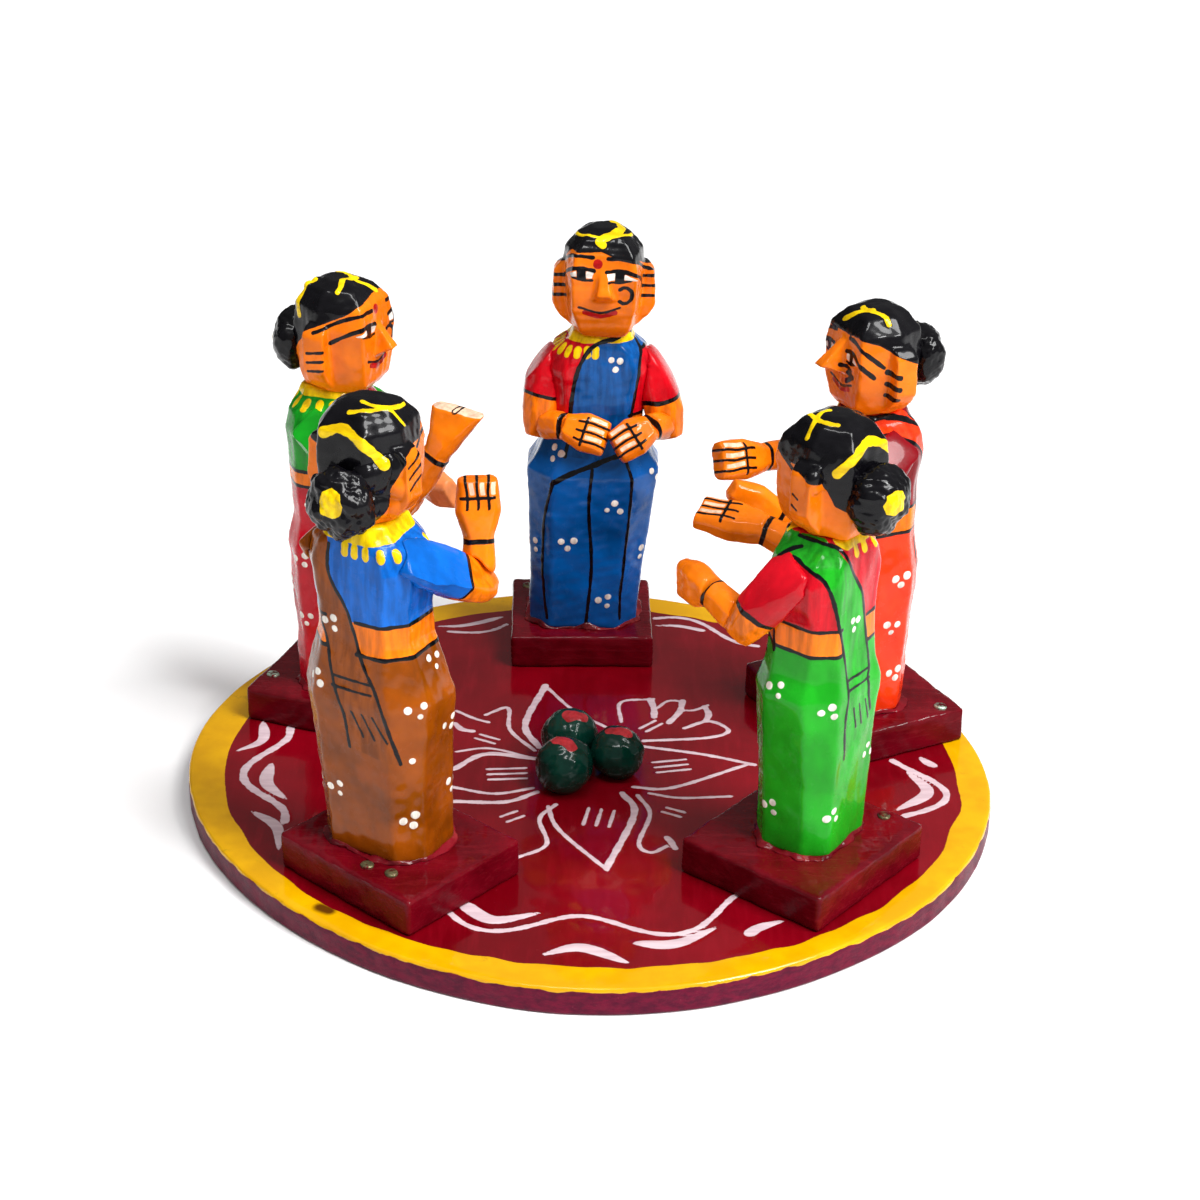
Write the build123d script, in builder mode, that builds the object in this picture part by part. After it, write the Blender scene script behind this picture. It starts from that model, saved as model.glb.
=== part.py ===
"""Painted wooden doll group: five women clapping round three balls on a round floor board.

Millimetres, +Z up. The origin is the centre of the board's underside. Every figure is described in
its own frame: x to the figure's right, y the way it faces, z up from the top of its plinth.
"""
from build123d import *
import math
import os

os.makedirs("parts", exist_ok=True)

# ---- driving dimensions -------------------------------------------------------------------------
BOARD_RADIUS = 101.6          # an eight inch round board
BOARD_THICKNESS = 7.3
BOARD_EDGE_ROUND = 0.8
BOARD_OVAL = (3.2, -23.0)     # hand-sawn outline: how far it is out of round, and towards which angle
BOARD_LOBES = (1.1, -4.0)     # the same for its four low corners
BOARD_OUTLINE_POINTS = 32

PLINTH_HEIGHT = 9.7
PLINTH_EDGE_ROUND = 0.6

BALL_FLAT = 0.7               # how much of each ball is pressed flat where it is glued down

NAIL_RADIUS = 0.9
NAIL_HEAD_RADIUS = 1.6
NAIL_HEAD_HEIGHT = 0.6
PLINTH_NAIL_LENGTH = 14.0     # down through the plinth into the board
FIGURE_NAIL_LENGTH = 26.0     # up through the plinth into the skirt
PEG_RADIUS = 1.5              # bamboo peg between neck and head
PEG_LENGTH = 12.0

NECK_TOP = 85.5               # height of the joint between neck and head
NECK_AXIS_Y = 0.5

PLINTH_TOP = BOARD_THICKNESS + PLINTH_HEIGHT

# Body sections from the skirt's foot to the neck: (height, half width, front, back, corner cut).
# The skirt's girth is scaled up to the waist and the hips stand at the figure's own height.
HIPS = 42.0
WAIST = 57.0
BODY_SECTIONS = [
    (0.0, 14.0, 11.0, -11.0, 5.2),
    (14.0, 14.3, 11.3, -11.3, 5.4),
    (HIPS, 16.8, 12.6, -12.2, 6.6),
    (50.0, 14.6, 11.2, -10.8, 5.6),
    (57.0, 12.8, 9.8, -9.6, 4.6),
    (64.0, 12.8, 9.8, -9.6, 4.6),
    (75.0, 14.4, 9.8, -9.4, 4.6),
    (80.0, 12.8, 9.2, -9.0, 4.4),
    (83.2, 8.4, 8.8, -8.0, 3.6),
    (NECK_TOP, 7.4, 8.2, -7.2, 3.2),
]

# Head sections above the neck joint:
# (height, front half width, front, side half width, side, back half width, back)
HEAD_SECTIONS = [
    (0.0, 5.4, 9.0, 8.0, 0.5, 5.0, -7.6),
    (2.2, 6.6, 10.6, 9.4, 0.5, 5.4, -8.6),
    (8.0, 8.4, 11.2, 10.6, 0.0, 6.0, -9.3),
    (17.0, 8.8, 11.4, 11.2, -0.5, 6.4, -9.5),
    (22.5, 7.8, 10.4, 10.4, -0.5, 6.0, -9.0),
    (26.4, 5.2, 7.4, 7.2, 0.0, 4.2, -6.2),
    (28.2, 2.4, 3.8, 3.4, 0.0, 2.0, -2.6),
]
EAR = dict(low=4.0, high=18.5, front=2.6, back=-3.4, reach=14.0, root=8.6, slope=3.0)
NOSE = dict(bridge=18.0, tip=11.6, foot=9.4, root=10.0, half_width=2.8)
BUN = dict(radius=8.4, half_depth=6.0)

# Figures: place and turn of the plinth, its two sides, its nails (from its centre), where the figure
# stands and which way it faces, how far it leans (to its right, forwards) per unit of height, its
# height against the usual one, the girth of its skirt, how far its hips are raised, how its head is
# turned, set on the neck and scaled (in depth, in height), how far its nose is lifted and reaches,
# and where its bun is (behind, above the neck joint). An arm is shoulder, elbow, wrist and finger
# tips; palm is the way across the hand, from edge to edge; a hand of its own shape says so.
FIGURES = {
    "blue": dict(
        plinth=(-2.3, 71.6, 1.0), sides=(40.0, 37.5), nails=[(-15.5, 14.0), (15.5, 14.0)],
        stand=(-1.9, 70.2), facing=-90.0, lean=(-0.05, 0.0), height=1.014, girth=1.09, hips_up=4.5,
        head_turn=0.0, head_shift=(-0.5, 0.0), head_scale=(1.0, 1.02),
        nose=(1.6, 14.4), bun=(-12.4, 10.0),
        right=dict(
            points=[(13.6, 0.0, 78.0), (15.3, 5.0, 59.0), (8.4, 13.0, 61.5), (-2.9, 16.0, 59.0)],
            palm=(0.1, -0.5, 0.85),
        ),
        left=dict(
            points=[(-14.4, 0.0, 77.5), (-19.6, 5.0, 59.0), (-14.7, 13.0, 61.5), (-5.4, 17.5, 57.0)],
            palm=(0.1, -0.5, 0.85),
        ),
    ),
    "brown": dict(
        plinth=(-45.3, -52.1, -42.0), sides=(45.0, 37.5), nails=[(10.1, -12.4), (3.4, -13.9)],
        stand=(-47.5, -50.5), facing=60.0, lean=(-0.029, -0.017), height=1.0, girth=1.03, hips_up=0.0,
        head_turn=0.0, head_shift=(-0.5, -0.3), head_scale=(1.0, 1.0),
        nose=(0.4, 16.0), bun=(-12.2, 9.6),
        right=dict(
            points=[(13.4, -2.0, 78.0), (17.0, 17.6, 64.5), (16.4, 20.0, 75.5), (15.0, 22.4, 89.0)],
            palm=(0.83, 0.56, 0.0), tip_facing=(0.0, 0.0, 1.0),
        ),
        left=dict(
            points=[(-13.4, -2.0, 78.0), (-17.0, 16.0, 65.5), (-16.5, 18.0, 76.5), (-15.0, 20.0, 88.0)],
            palm=(-0.83, 0.56, 0.0), tip_facing=(0.0, 0.0, 1.0),
        ),
    ),
    "green": dict(
        plinth=(52.8, -47.5, -40.0), sides=(41.0, 44.0), nails=[(10.9, 19.0), (-14.0, 19.0)],
        stand=(54.5, -46.4), facing=144.0, lean=(0.0, 0.0), height=0.955, girth=0.93, hips_up=2.5,
        head_turn=-9.0, head_shift=(1.1, -1.5), head_scale=(1.0, 0.985),
        nose=(0.4, 16.0), bun=(-12.4, 10.6),
        right=dict(
            points=[(12.6, 1.0, 79.0), (17.0, 10.0, 66.0), (12.0, 24.2, 72.5), (8.0, 40.4, 74.2)],
            palm=(1.0, 0.0, 0.3),
        ),
        left=dict(
            points=[(-12.2, 1.0, 78.0), (-16.6, 10.6, 62.5), (-15.0, 21.3, 67.2), (-11.0, 32.0, 66.2)],
            palm=(0.0, 0.1, 1.0),
        ),
    ),
    "crimson": dict(
        plinth=(-67.4, 32.9, -20.0), sides=(39.0, 39.0), nails=[(-16.3, -9.6), (13.0, 15.5)],
        stand=(-66.4, 30.8), facing=-22.0, lean=(0.0, 0.0), height=1.0, girth=0.88, hips_up=0.0,
        head_turn=0.0, head_shift=(0.0, 1.6), head_scale=(1.0, 1.0),
        nose=(0.0, 16.2), bun=(-12.4, 10.0),
        right=dict(
            points=[(13.2, 1.0, 77.0), (14.5, 27.0, 62.5), (13.0, 35.4, 76.0), (11.0, 40.6, 88.0)],
            palm=(0.0, 1.0, 0.3),
            tip_facing=(0.0, 0.1, 1.0),
            hand=[(0.0, 6.0, 6.2), (0.4, 8.4, 6.4), (1.0, 13.8, 4.8)],
        ),
        left=dict(
            points=[(-13.2, 1.0, 77.0), (-15.0, 14.0, 58.0), (-11.5, 20.0, 55.5), (-7.0, 30.4, 55.8)],
            palm=(0.3, -0.5, 0.8),
        ),
    ),
    "orange": dict(
        plinth=(71.9, 26.9, 26.6), sides=(40.6, 48.0), nails=[(15.0, -20.0), (-15.0, 20.0)],
        stand=(71.8, 22.2), facing=207.0, lean=(0.0, 0.0), height=0.985, girth=0.91, hips_up=0.0,
        head_turn=-2.0, head_shift=(0.0, -0.6), head_scale=(0.92, 0.955),
        nose=(1.2, 17.6), bun=(-13.6, 11.8),
        right=dict(
            points=[(13.2, 1.0, 78.0), (16.0, 11.0, 67.0), (12.0, 25.6, 70.5), (8.0, 40.5, 73.6)],
            palm=(0.35, 0.1, 0.93),
        ),
        left=dict(
            points=[(-13.2, 1.0, 78.0), (-14.5, 22.0, 60.0), (-11.0, 34.4, 66.4), (-8.0, 45.8, 73.6)],
            palm=(0.0, -0.3, 0.95), hand=[(0.0, 6.0, 6.0), (0.45, 8.4, 6.0), (1.0, 5.0, 4.2)],
        ),
    ),
}

# Arm sections: (share of the way, width, depth)
SLEEVE = [(-0.12, 7.0, 8.4), (0.1, 10.4, 11.2), (0.55, 11.0, 10.8), (0.85, 10.0, 10.0), (1.0, 9.0, 9.0)]
ELBOW_OVERRUN = 3.4           # how far the upper arm runs past the elbow point
ELBOW_END = (6.8, 6.8)
FOREARM = [(0.0, 6.0, 6.0), (0.4, 7.8, 7.6), (1.0, 6.8, 6.4)]
HAND = [(0.0, 6.8, 6.4), (0.45, 10.4, 6.8), (1.0, 9.2, 4.2)]

# Balls: (x, y, radius) of each on the board
BALLS = {
    "gobbemma_front": (-5.9, -12.6, 7.6),
    "gobbemma_rear": (-4.8, 2.6, 7.4),
    "gobbemma_right": (7.7, -5.1, 7.0),
}


# ---- helpers ------------------------------------------------------------------------------------
def facet(half_width, front, back, cut):
    """Outline of a rectangle with its four corners pared off, as a knife leaves a carved block."""
    return [
        (half_width, front - cut), (half_width - cut, front), (cut - half_width, front),
        (-half_width, front - cut), (-half_width, back + cut), (cut - half_width, back),
        (half_width - cut, back), (half_width, back + cut),
    ]


def head_outline(front_half, front, side_half, side, back_half, back):
    """Eight-sided outline of a head: a flat face in front, widest at the ears, rounded behind."""
    cheek = (0.55 * front_half + 0.45 * side_half, 0.62 * front + 0.38 * side)
    return [
        (front_half, front), cheek, (side_half, side), (back_half, back),
        (-back_half, back), (-side_half, side), (-cheek[0], cheek[1]), (-front_half, front),
    ]


def board_point(angle):
    """Point on the rim of the hand-sawn board towards an angle in degrees."""
    oval, oval_angle = BOARD_OVAL
    lobes, lobe_angle = BOARD_LOBES
    radius = (
        BOARD_RADIUS
        + oval * math.cos(math.radians(2 * (angle - oval_angle)))
        + lobes * math.cos(math.radians(4 * (angle - lobe_angle)))
    )
    return (radius * math.cos(math.radians(angle)), radius * math.sin(math.radians(angle)))


def figure_plane(figure):
    """The figure's own frame, standing on its plinth."""
    angle = math.radians(figure["facing"] - 90.0)
    x, y = figure["stand"]
    return Plane(origin=(x, y, PLINTH_TOP), x_dir=(math.cos(angle), math.sin(angle), 0), z_dir=(0, 0, 1))


def leaned(figure, x, y, z):
    """A point of the upright figure, moved over by its lean and scaled to its height."""
    side, forward = figure["lean"]
    return (x + side * z, y + forward * z, z * figure["height"])


def body_point(figure, point):
    """A point given in the figure's frame, in the frame of the whole model."""
    return figure_plane(figure).from_local_coords(Vector(*leaned(figure, *point)))


def head_plane(figure):
    """Frame of the head: on the neck joint, turned by the head's own turn."""
    turn = math.radians(figure["facing"] + figure["head_turn"] - 90.0)
    shift_x, shift_y = figure["head_shift"]
    origin = body_point(figure, (shift_x, NECK_AXIS_Y + shift_y, NECK_TOP))
    return Plane(origin=origin, x_dir=(math.cos(turn), math.sin(turn), 0), z_dir=(0, 0, 1))


def section_plane(start, end, share, across, facing=None):
    """Plane square to the line from start to end, or facing another way, its x axis along across."""
    along = (facing or (end - start)).normalized()
    side = (across - along * across.dot(along)).normalized()
    return Plane(origin=start + (end - start) * share, x_dir=side, z_dir=along)


def pared(width, depth, cut_share=0.26):
    """Outline of an arm's section, its corners pared."""
    return facet(width / 2, depth / 2, -depth / 2, min(width, depth) * cut_share)


def whole(part):
    """The piece itself, without the shavings that a cut leaves beside it."""
    return Part(max(part.solids(), key=lambda solid: solid.volume).wrapped)


def finish(part, name):
    """Label a finished piece and write it out."""
    part.label = name
    export_step(part, f"parts/{name}.step")
    box = part.bounding_box()
    print(f"{name}: {part.volume:.0f} mm3, z {box.min.Z:.1f} to {box.max.Z:.1f}")


# ---- nails and pegs -----------------------------------------------------------------------------
def nail_places(figure):
    """Where the nails go down through a plinth, clear of the skirt."""
    x, y, turn = figure["plinth"]
    x_dir = (math.cos(math.radians(turn)), math.sin(math.radians(turn)), 0)
    frame = Plane(origin=(x, y, PLINTH_TOP), x_dir=x_dir)
    return [frame.from_local_coords(Vector(*nail, 0)) for nail in figure["nails"]]


with BuildPart() as plinth_nails:
    for figure in FIGURES.values():
        for place in nail_places(figure):
            with BuildSketch(Plane(origin=place)):
                Circle(NAIL_RADIUS)
            extrude(amount=-PLINTH_NAIL_LENGTH)
            with BuildSketch(Plane(origin=place)):
                Circle(NAIL_HEAD_RADIUS)
            extrude(amount=-NAIL_HEAD_HEIGHT)

with BuildPart() as figure_nails:
    for figure in FIGURES.values():
        x, y = figure["stand"]
        with BuildSketch(Plane(origin=(x, y, BOARD_THICKNESS))):
            Circle(NAIL_RADIUS)
        extrude(amount=FIGURE_NAIL_LENGTH)
        with BuildSketch(Plane(origin=(x, y, BOARD_THICKNESS))):
            Circle(NAIL_HEAD_RADIUS)
        extrude(amount=NAIL_HEAD_HEIGHT)

with BuildPart() as neck_pegs:
    for figure in FIGURES.values():
        with BuildSketch(Plane(origin=head_plane(figure).origin - Vector(0, 0, PEG_LENGTH / 2))):
            Circle(PEG_RADIUS)
        extrude(amount=PEG_LENGTH)

finish(plinth_nails.part, "plinth_nails")
finish(figure_nails.part, "figure_nails")
finish(neck_pegs.part, "neck_pegs")

# ---- board and balls ----------------------------------------------------------------------------
outline_points = [board_point(360.0 * step / BOARD_OUTLINE_POINTS) for step in range(BOARD_OUTLINE_POINTS)]
with BuildPart() as board:
    with BuildSketch() as board_outline:
        with BuildLine():
            Spline(*outline_points, periodic=True)
        make_face()
    extrude(amount=BOARD_THICKNESS)
    fillet(board.faces().sort_by(Axis.Z)[-1].edges(), radius=BOARD_EDGE_ROUND)
    fillet(board.faces().sort_by(Axis.Z)[0].edges(), radius=BOARD_EDGE_ROUND)
    add(plinth_nails.part, mode=Mode.SUBTRACT)
finish(board.part, "board")

for name, (x, y, radius) in BALLS.items():
    with BuildPart() as ball:
        with Locations((x, y, BOARD_THICKNESS + radius - BALL_FLAT)):
            Sphere(radius)
        split(bisect_by=Plane.XY.offset(BOARD_THICKNESS), keep=Keep.TOP)
    finish(ball.part, name)

# ---- figures ------------------------------------------------------------------------------------
for colour, figure in FIGURES.items():
    stand = figure_plane(figure)
    x, y, turn = figure["plinth"]

    with BuildPart() as plinth:
        with BuildSketch(Plane.XY.offset(BOARD_THICKNESS)):
            with Locations(Location((x, y, 0), (0, 0, turn))):
                Rectangle(*figure["sides"])
        extrude(amount=PLINTH_HEIGHT)
        fillet(plinth.edges().filter_by(Axis.Z), radius=PLINTH_EDGE_ROUND)
        fillet(plinth.faces().sort_by(Axis.Z)[-1].edges(), radius=PLINTH_EDGE_ROUND)
        add(plinth_nails.part, mode=Mode.SUBTRACT)
        add(figure_nails.part, mode=Mode.SUBTRACT)
    finish(plinth.part, f"{colour}_plinth")

    with BuildPart() as body:
        for height, half_width, front, back, cut in BODY_SECTIONS:
            raised = figure["hips_up"] if height == HIPS else 0.0
            shift_x, shift_y, level = leaned(figure, 0, 0, height + raised)
            girth = figure["girth"] if height < WAIST else 1.0
            outline = facet(half_width * girth, front * girth, back * girth, cut * girth)
            with BuildSketch(stand.offset(level)):
                with Locations((shift_x, shift_y)):
                    Polygon(*outline, align=None)
        loft(ruled=True)
        add(figure_nails.part, mode=Mode.SUBTRACT)
        add(neck_pegs.part, mode=Mode.SUBTRACT)
    finish(body.part, f"{colour}_body")

    face = head_plane(figure)
    deep, tall = figure["head_scale"]
    with BuildPart() as head:
        for height, *outline in HEAD_SECTIONS:
            with BuildSketch(face.offset(height * tall)):
                Polygon(*[(x, y * deep) for x, y in head_outline(*outline)], align=None)
        loft(ruled=True)
        for hand in (1, -1):
            ear_plane = Plane(
                origin=face.from_local_coords(Vector(0, EAR["front"], 0)),
                x_dir=face.x_dir * hand,
                z_dir=face.y_dir * -hand,
            )
            with BuildSketch(ear_plane):
                Polygon(
                    (EAR["root"], EAR["low"] - EAR["slope"]), (EAR["reach"] - 2.0, EAR["low"]),
                    (EAR["reach"], EAR["low"] + EAR["slope"]), (EAR["reach"] - 0.4, EAR["high"] - 2.0),
                    (EAR["reach"] - 2.4, EAR["high"]), (EAR["root"], EAR["high"]),
                    align=None,
                )
            extrude(amount=(EAR["front"] - EAR["back"]) * hand)
        lift, nose_reach = figure["nose"]
        nose_root = NOSE["root"] * deep
        for level, reach, half in (
            (NOSE["bridge"], nose_root + 1.2, 1.2),
            (NOSE["tip"], nose_reach, 1.9),
            (NOSE["foot"], nose_root + 1.4, NOSE["half_width"]),
        ):
            inside = nose_root - 1.0
            with BuildSketch(face.offset(level + lift)):
                Polygon((-half, inside), (half, inside), (half, reach), (-half, reach), align=None)
        loft(ruled=True)
        add(neck_pegs.part, mode=Mode.SUBTRACT)
    finish(head.part, f"{colour}_head")

    bun_centre = face.from_local_coords(Vector(0, *figure["bun"]))
    with BuildPart() as bun:
        with BuildSketch(Plane(origin=bun_centre, x_dir=face.x_dir, z_dir=face.z_dir)):
            Ellipse(BUN["radius"], BUN["half_depth"])
            split(bisect_by=Plane.YZ)
        revolve(axis=Axis(bun_centre, face.y_dir))
        add(head.part, mode=Mode.SUBTRACT)
        add(body.part, mode=Mode.SUBTRACT)
    finish(bun.part, f"{colour}_bun")

    neighbours = [body.part]
    for side in ("right", "left"):
        arm = figure[side]
        shoulder, elbow, wrist, tip = [body_point(figure, point) for point in arm["points"]]
        across = stand.from_local_coords(Vector(*arm["palm"])) - stand.origin

        arm_end = (1.0 + ELBOW_OVERRUN / (elbow - shoulder).length, *ELBOW_END)
        with BuildPart() as upper_arm:
            for share, width, depth in (*SLEEVE, arm_end):
                with BuildSketch(section_plane(shoulder, elbow, share, stand.x_dir + stand.z_dir * 0.2)):
                    Polygon(*pared(width, depth), align=None)
            loft(ruled=True)
            add(body.part, mode=Mode.SUBTRACT)
        finish(whole(upper_arm.part), f"{colour}_{side}_upper_arm")

        with BuildPart() as forearm:
            for start, end, sections in ((elbow, wrist, FOREARM), (wrist, tip, arm.get("hand", HAND))):
                for share, width, depth in sections:
                    facing = None
                    if end is tip and share == 1.0 and "tip_facing" in arm:
                        facing = stand.from_local_coords(Vector(*arm["tip_facing"])) - stand.origin
                    with BuildSketch(section_plane(start, end, share, across, facing)):
                        Polygon(*pared(width, depth), align=None)
                loft(ruled=True)
            for neighbour in (upper_arm.part, *neighbours):
                add(neighbour, mode=Mode.SUBTRACT)
        neighbours.append(forearm.part)
        finish(whole(forearm.part), f"{colour}_{side}_forearm")
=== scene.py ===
"""Looks of the painted wooden doll group: five women clapping round three balls on a board.

Every carved piece starts from its CAD mesh, is worn soft like cut and painted wood, and is painted by
fields: a number in each vertex says how deep, in millimetres, the point lies inside a brush stroke, and
the material cuts the paint edge there. Lengths are in millimetres up to make_object().
"""

import math

import bmesh
import bpy
import numpy as np
from mathutils import Matrix, Vector
from mathutils.bvhtree import BVHTree


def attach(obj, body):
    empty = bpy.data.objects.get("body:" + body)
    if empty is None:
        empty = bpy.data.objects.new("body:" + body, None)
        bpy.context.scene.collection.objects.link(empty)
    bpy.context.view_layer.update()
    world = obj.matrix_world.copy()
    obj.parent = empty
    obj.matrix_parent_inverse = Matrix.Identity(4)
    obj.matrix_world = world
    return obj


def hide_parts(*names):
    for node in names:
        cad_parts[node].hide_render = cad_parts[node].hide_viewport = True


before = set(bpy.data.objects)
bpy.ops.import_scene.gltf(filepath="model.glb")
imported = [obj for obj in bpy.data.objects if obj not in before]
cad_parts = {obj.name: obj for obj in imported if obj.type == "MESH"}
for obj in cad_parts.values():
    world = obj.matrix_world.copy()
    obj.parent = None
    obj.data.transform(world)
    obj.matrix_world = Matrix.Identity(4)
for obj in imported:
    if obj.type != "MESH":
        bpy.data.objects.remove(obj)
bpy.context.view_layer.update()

MM = 0.001
BOARD_TOP = 7.3
PLINTH_TOP = 17.0
NECK_TOP = 85.5
NECK_AXIS_Y = 0.5

# Where each figure stands, the way it faces, its lean and height, and how its head is set (as in CAD)
FIGURES = {
    "blue": dict(stand=(-1.9, 70.2), facing=-90.0, lean=(-0.05, 0.0), height=1.014,
                 head_turn=0.0, head_shift=(-0.5, 0.0)),
    "brown": dict(stand=(-47.5, -50.5), facing=60.0, lean=(-0.029, -0.017), height=1.0,
                  head_turn=0.0, head_shift=(-0.5, -0.3)),
    "green": dict(stand=(54.5, -46.4), facing=144.0, lean=(0.0, 0.0), height=0.955,
                  head_turn=-9.0, head_shift=(1.1, -1.5)),
    "crimson": dict(stand=(-66.4, 30.8), facing=-22.0, lean=(0.0, 0.0), height=1.0,
                    head_turn=0.0, head_shift=(0.0, 1.6)),
    "orange": dict(stand=(71.8, 22.2), facing=207.0, lean=(0.0, 0.0), height=0.985,
                   head_turn=-2.0, head_shift=(0.0, -0.6)),
}

# Each arm: shoulder, elbow, wrist and finger tips in the figure's frame, and the way across the hand
ARMS = {
    ("blue", "right"): (
        [(13.6, 0, 78), (15.3, 5, 59), (8.4, 13, 61.5), (-2.9, 16, 59)], (0.1, -0.5, 0.85),
    ),
    ("blue", "left"): (
        [(-14.4, 0, 77.5), (-19.6, 5, 59), (-14.7, 13, 61.5), (-5.4, 17.5, 57)], (0.1, -0.5, 0.85),
    ),
    ("brown", "right"): (
        [(13.4, -2, 78), (17, 17.6, 64.5), (16.4, 20, 75.5), (15, 22.4, 89)], (0.83, 0.56, 0),
    ),
    ("brown", "left"): (
        [(-13.4, -2, 78), (-17, 16, 65.5), (-16.5, 18, 76.5), (-15, 20, 88)], (-0.83, 0.56, 0),
    ),
    ("green", "right"): (
        [(12.6, 1, 79), (17, 10, 66), (12, 24.2, 72.5), (8, 40.4, 74.2)], (1, 0, 0.3),
    ),
    ("green", "left"): (
        [(-12.2, 1, 78), (-16.6, 10.6, 62.5), (-15, 21.3, 67.2), (-11, 32, 66.2)], (0, 0.1, 1),
    ),
    ("crimson", "right"): (
        [(13.2, 1, 77), (14.5, 27, 62.5), (13, 35.4, 76), (11, 40.6, 88)], (0, 1, 0.3),
    ),
    ("crimson", "left"): (
        [(-13.2, 1, 77), (-15, 14, 58), (-11.5, 20, 55.5), (-7, 30.4, 55.8)], (0.3, -0.5, 0.8),
    ),
    ("orange", "right"): (
        [(13.2, 1, 78), (16, 11, 67), (12, 25.6, 70.5), (8, 40.5, 73.6)], (0.35, 0.1, 0.93),
    ),
    ("orange", "left"): (
        [(-13.2, 1, 78), (-14.5, 22, 60), (-11, 34.4, 66.4), (-8, 45.8, 73.6)], (0, -0.3, 0.95),
    ),
}

# Enamel colours, as seen (sRGB)
BLACK = (5, 4, 8)
YELLOW = (246, 200, 0)
WHITE = (240, 232, 222)
SKIN = (240, 116, 4)
PALE_SKIN = (224, 132, 76)
RED = (176, 14, 14)
COLOURS = {
    "blue": dict(saree=(0, 80, 156), blouse=(200, 4, 22)),
    "brown": dict(saree=(134, 62, 0), blouse=(0, 94, 190)),
    "green": dict(saree=(22, 156, 24), blouse=(198, 6, 26)),
    "crimson": dict(saree=(186, 4, 28), blouse=(12, 142, 24)),
    "orange": dict(saree=(240, 52, 8), blouse=(122, 4, 16)),
}


# ---- helpers: shapes ----------------------------------------------------------------------------
def linear(colour):
    """An sRGB colour in 0 to 255 as the linear RGBA that a shader takes."""
    parts = [c / 255 for c in colour]
    return (*[c / 12.92 if c <= 0.04045 else ((c + 0.055) / 1.055) ** 2.4 for c in parts], 1.0)


def waves(points, size, seed, count=14):
    """Smooth irregularity over points, about -1 to 1, with features of about the given size."""
    rng = np.random.default_rng(seed)
    total = np.zeros(len(points))
    for _ in range(count):
        way = rng.normal(size=3)
        way /= np.linalg.norm(way)
        total += np.sin(points @ way * (2 * math.pi / (size * rng.uniform(0.7, 1.9))) + rng.uniform(0, 6.3))
    return total / math.sqrt(count) / 0.9


def make_object(name, points, faces, smooth=True):
    """A mesh object from points in millimetres."""
    mesh = bpy.data.meshes.new(name)
    mesh.from_pydata((np.asarray(points) * MM).tolist(), [], faces)
    mesh.validate()
    mesh.update()
    if smooth:
        mesh.shade_smooth()
    obj = bpy.data.objects.new(name, mesh)
    bpy.context.scene.collection.objects.link(obj)
    return obj


def get_points(obj):
    co = np.empty(len(obj.data.vertices) * 3)
    obj.data.vertices.foreach_get("co", co)
    return co.reshape(-1, 3) / MM


def set_points(obj, points):
    obj.data.vertices.foreach_set("co", (points * MM).ravel())
    obj.data.update()


def get_normals(obj):
    no = np.empty(len(obj.data.vertices) * 3)
    obj.data.vertices.foreach_get("normal", no)
    return no.reshape(-1, 3)


def soften(obj, rounds, strength=0.5):
    """Wears the carved edges soft."""
    points = get_points(obj)
    edges = np.empty(len(obj.data.edges) * 2, np.int64)
    obj.data.edges.foreach_get("vertices", edges)
    a, b = edges.reshape(-1, 2).T
    count = np.bincount(a, minlength=len(points)) + np.bincount(b, minlength=len(points))
    for _ in range(rounds):
        mean = np.stack([
            np.bincount(a, points[b, k], len(points)) + np.bincount(b, points[a, k], len(points))
            for k in range(3)
        ], 1) / np.maximum(count, 1)[:, None]
        points += (mean - points) * strength
    set_points(obj, points)


def remesh(name, source, voxel):
    """A new object with source's shape (a mesh in metres), in even small faces."""
    bm = bmesh.new()
    bm.from_mesh(source)
    bmesh.ops.remove_doubles(bm, verts=bm.verts, dist=1e-6)
    bmesh.ops.scale(bm, vec=(1 / MM,) * 3, verts=bm.verts)
    bmesh.ops.recalc_face_normals(bm, faces=bm.faces)
    coarse = bpy.data.meshes.new(name)
    bm.to_mesh(coarse)
    bm.free()
    obj = bpy.data.objects.new(name, coarse)
    bpy.context.scene.collection.objects.link(obj)
    modifier = obj.modifiers.new("even", "REMESH")
    modifier.mode = "VOXEL"
    modifier.voxel_size = voxel
    modifier.adaptivity = 0.0
    modifier.use_smooth_shade = True
    evaluated = obj.evaluated_get(bpy.context.evaluated_depsgraph_get())
    fine = bpy.data.meshes.new_from_object(evaluated)
    obj.modifiers.clear()
    obj.data = fine
    bpy.data.meshes.remove(coarse)
    fine.transform(Matrix.Scale(MM, 4))
    fine.shade_smooth()
    return obj


def carve(name, node, voxel, rounds=3, wobble=0.12, grain=9.0, grow=0.0, seed=1):
    """The CAD node as worn carved wood: even faces, soft edges, slightly uneven."""
    obj = remesh(name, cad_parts[node].data, voxel * (1.0))
    soften(obj, rounds)
    points = get_points(obj)
    rise = wobble * waves(points, grain, seed) + 0.35 * wobble * waves(points, grain / 3.2, seed + 7) + grow
    set_points(obj, points + get_normals(obj) * rise[:, None])
    return obj


# ---- helpers: paint fields ----------------------------------------------------------------------
def turned(points, angle):
    """Points turned by -angle about z: world to a frame that is turned by angle."""
    c, s = math.cos(angle), math.sin(angle)
    x, y, z = points.T
    return np.stack([x * c + y * s, -x * s + y * c, z], 1)


def body_frame(figure, points):
    """Points in the figure's own frame: x to its right, y forwards, z up its height from the plinth."""
    sx, sy = figure["stand"]
    local = turned(points - (sx, sy, PLINTH_TOP), math.radians(figure["facing"] - 90))
    local[:, 2] /= figure["height"]
    local[:, 0] -= figure["lean"][0] * local[:, 2]
    local[:, 1] -= figure["lean"][1] * local[:, 2]
    return local


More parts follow.
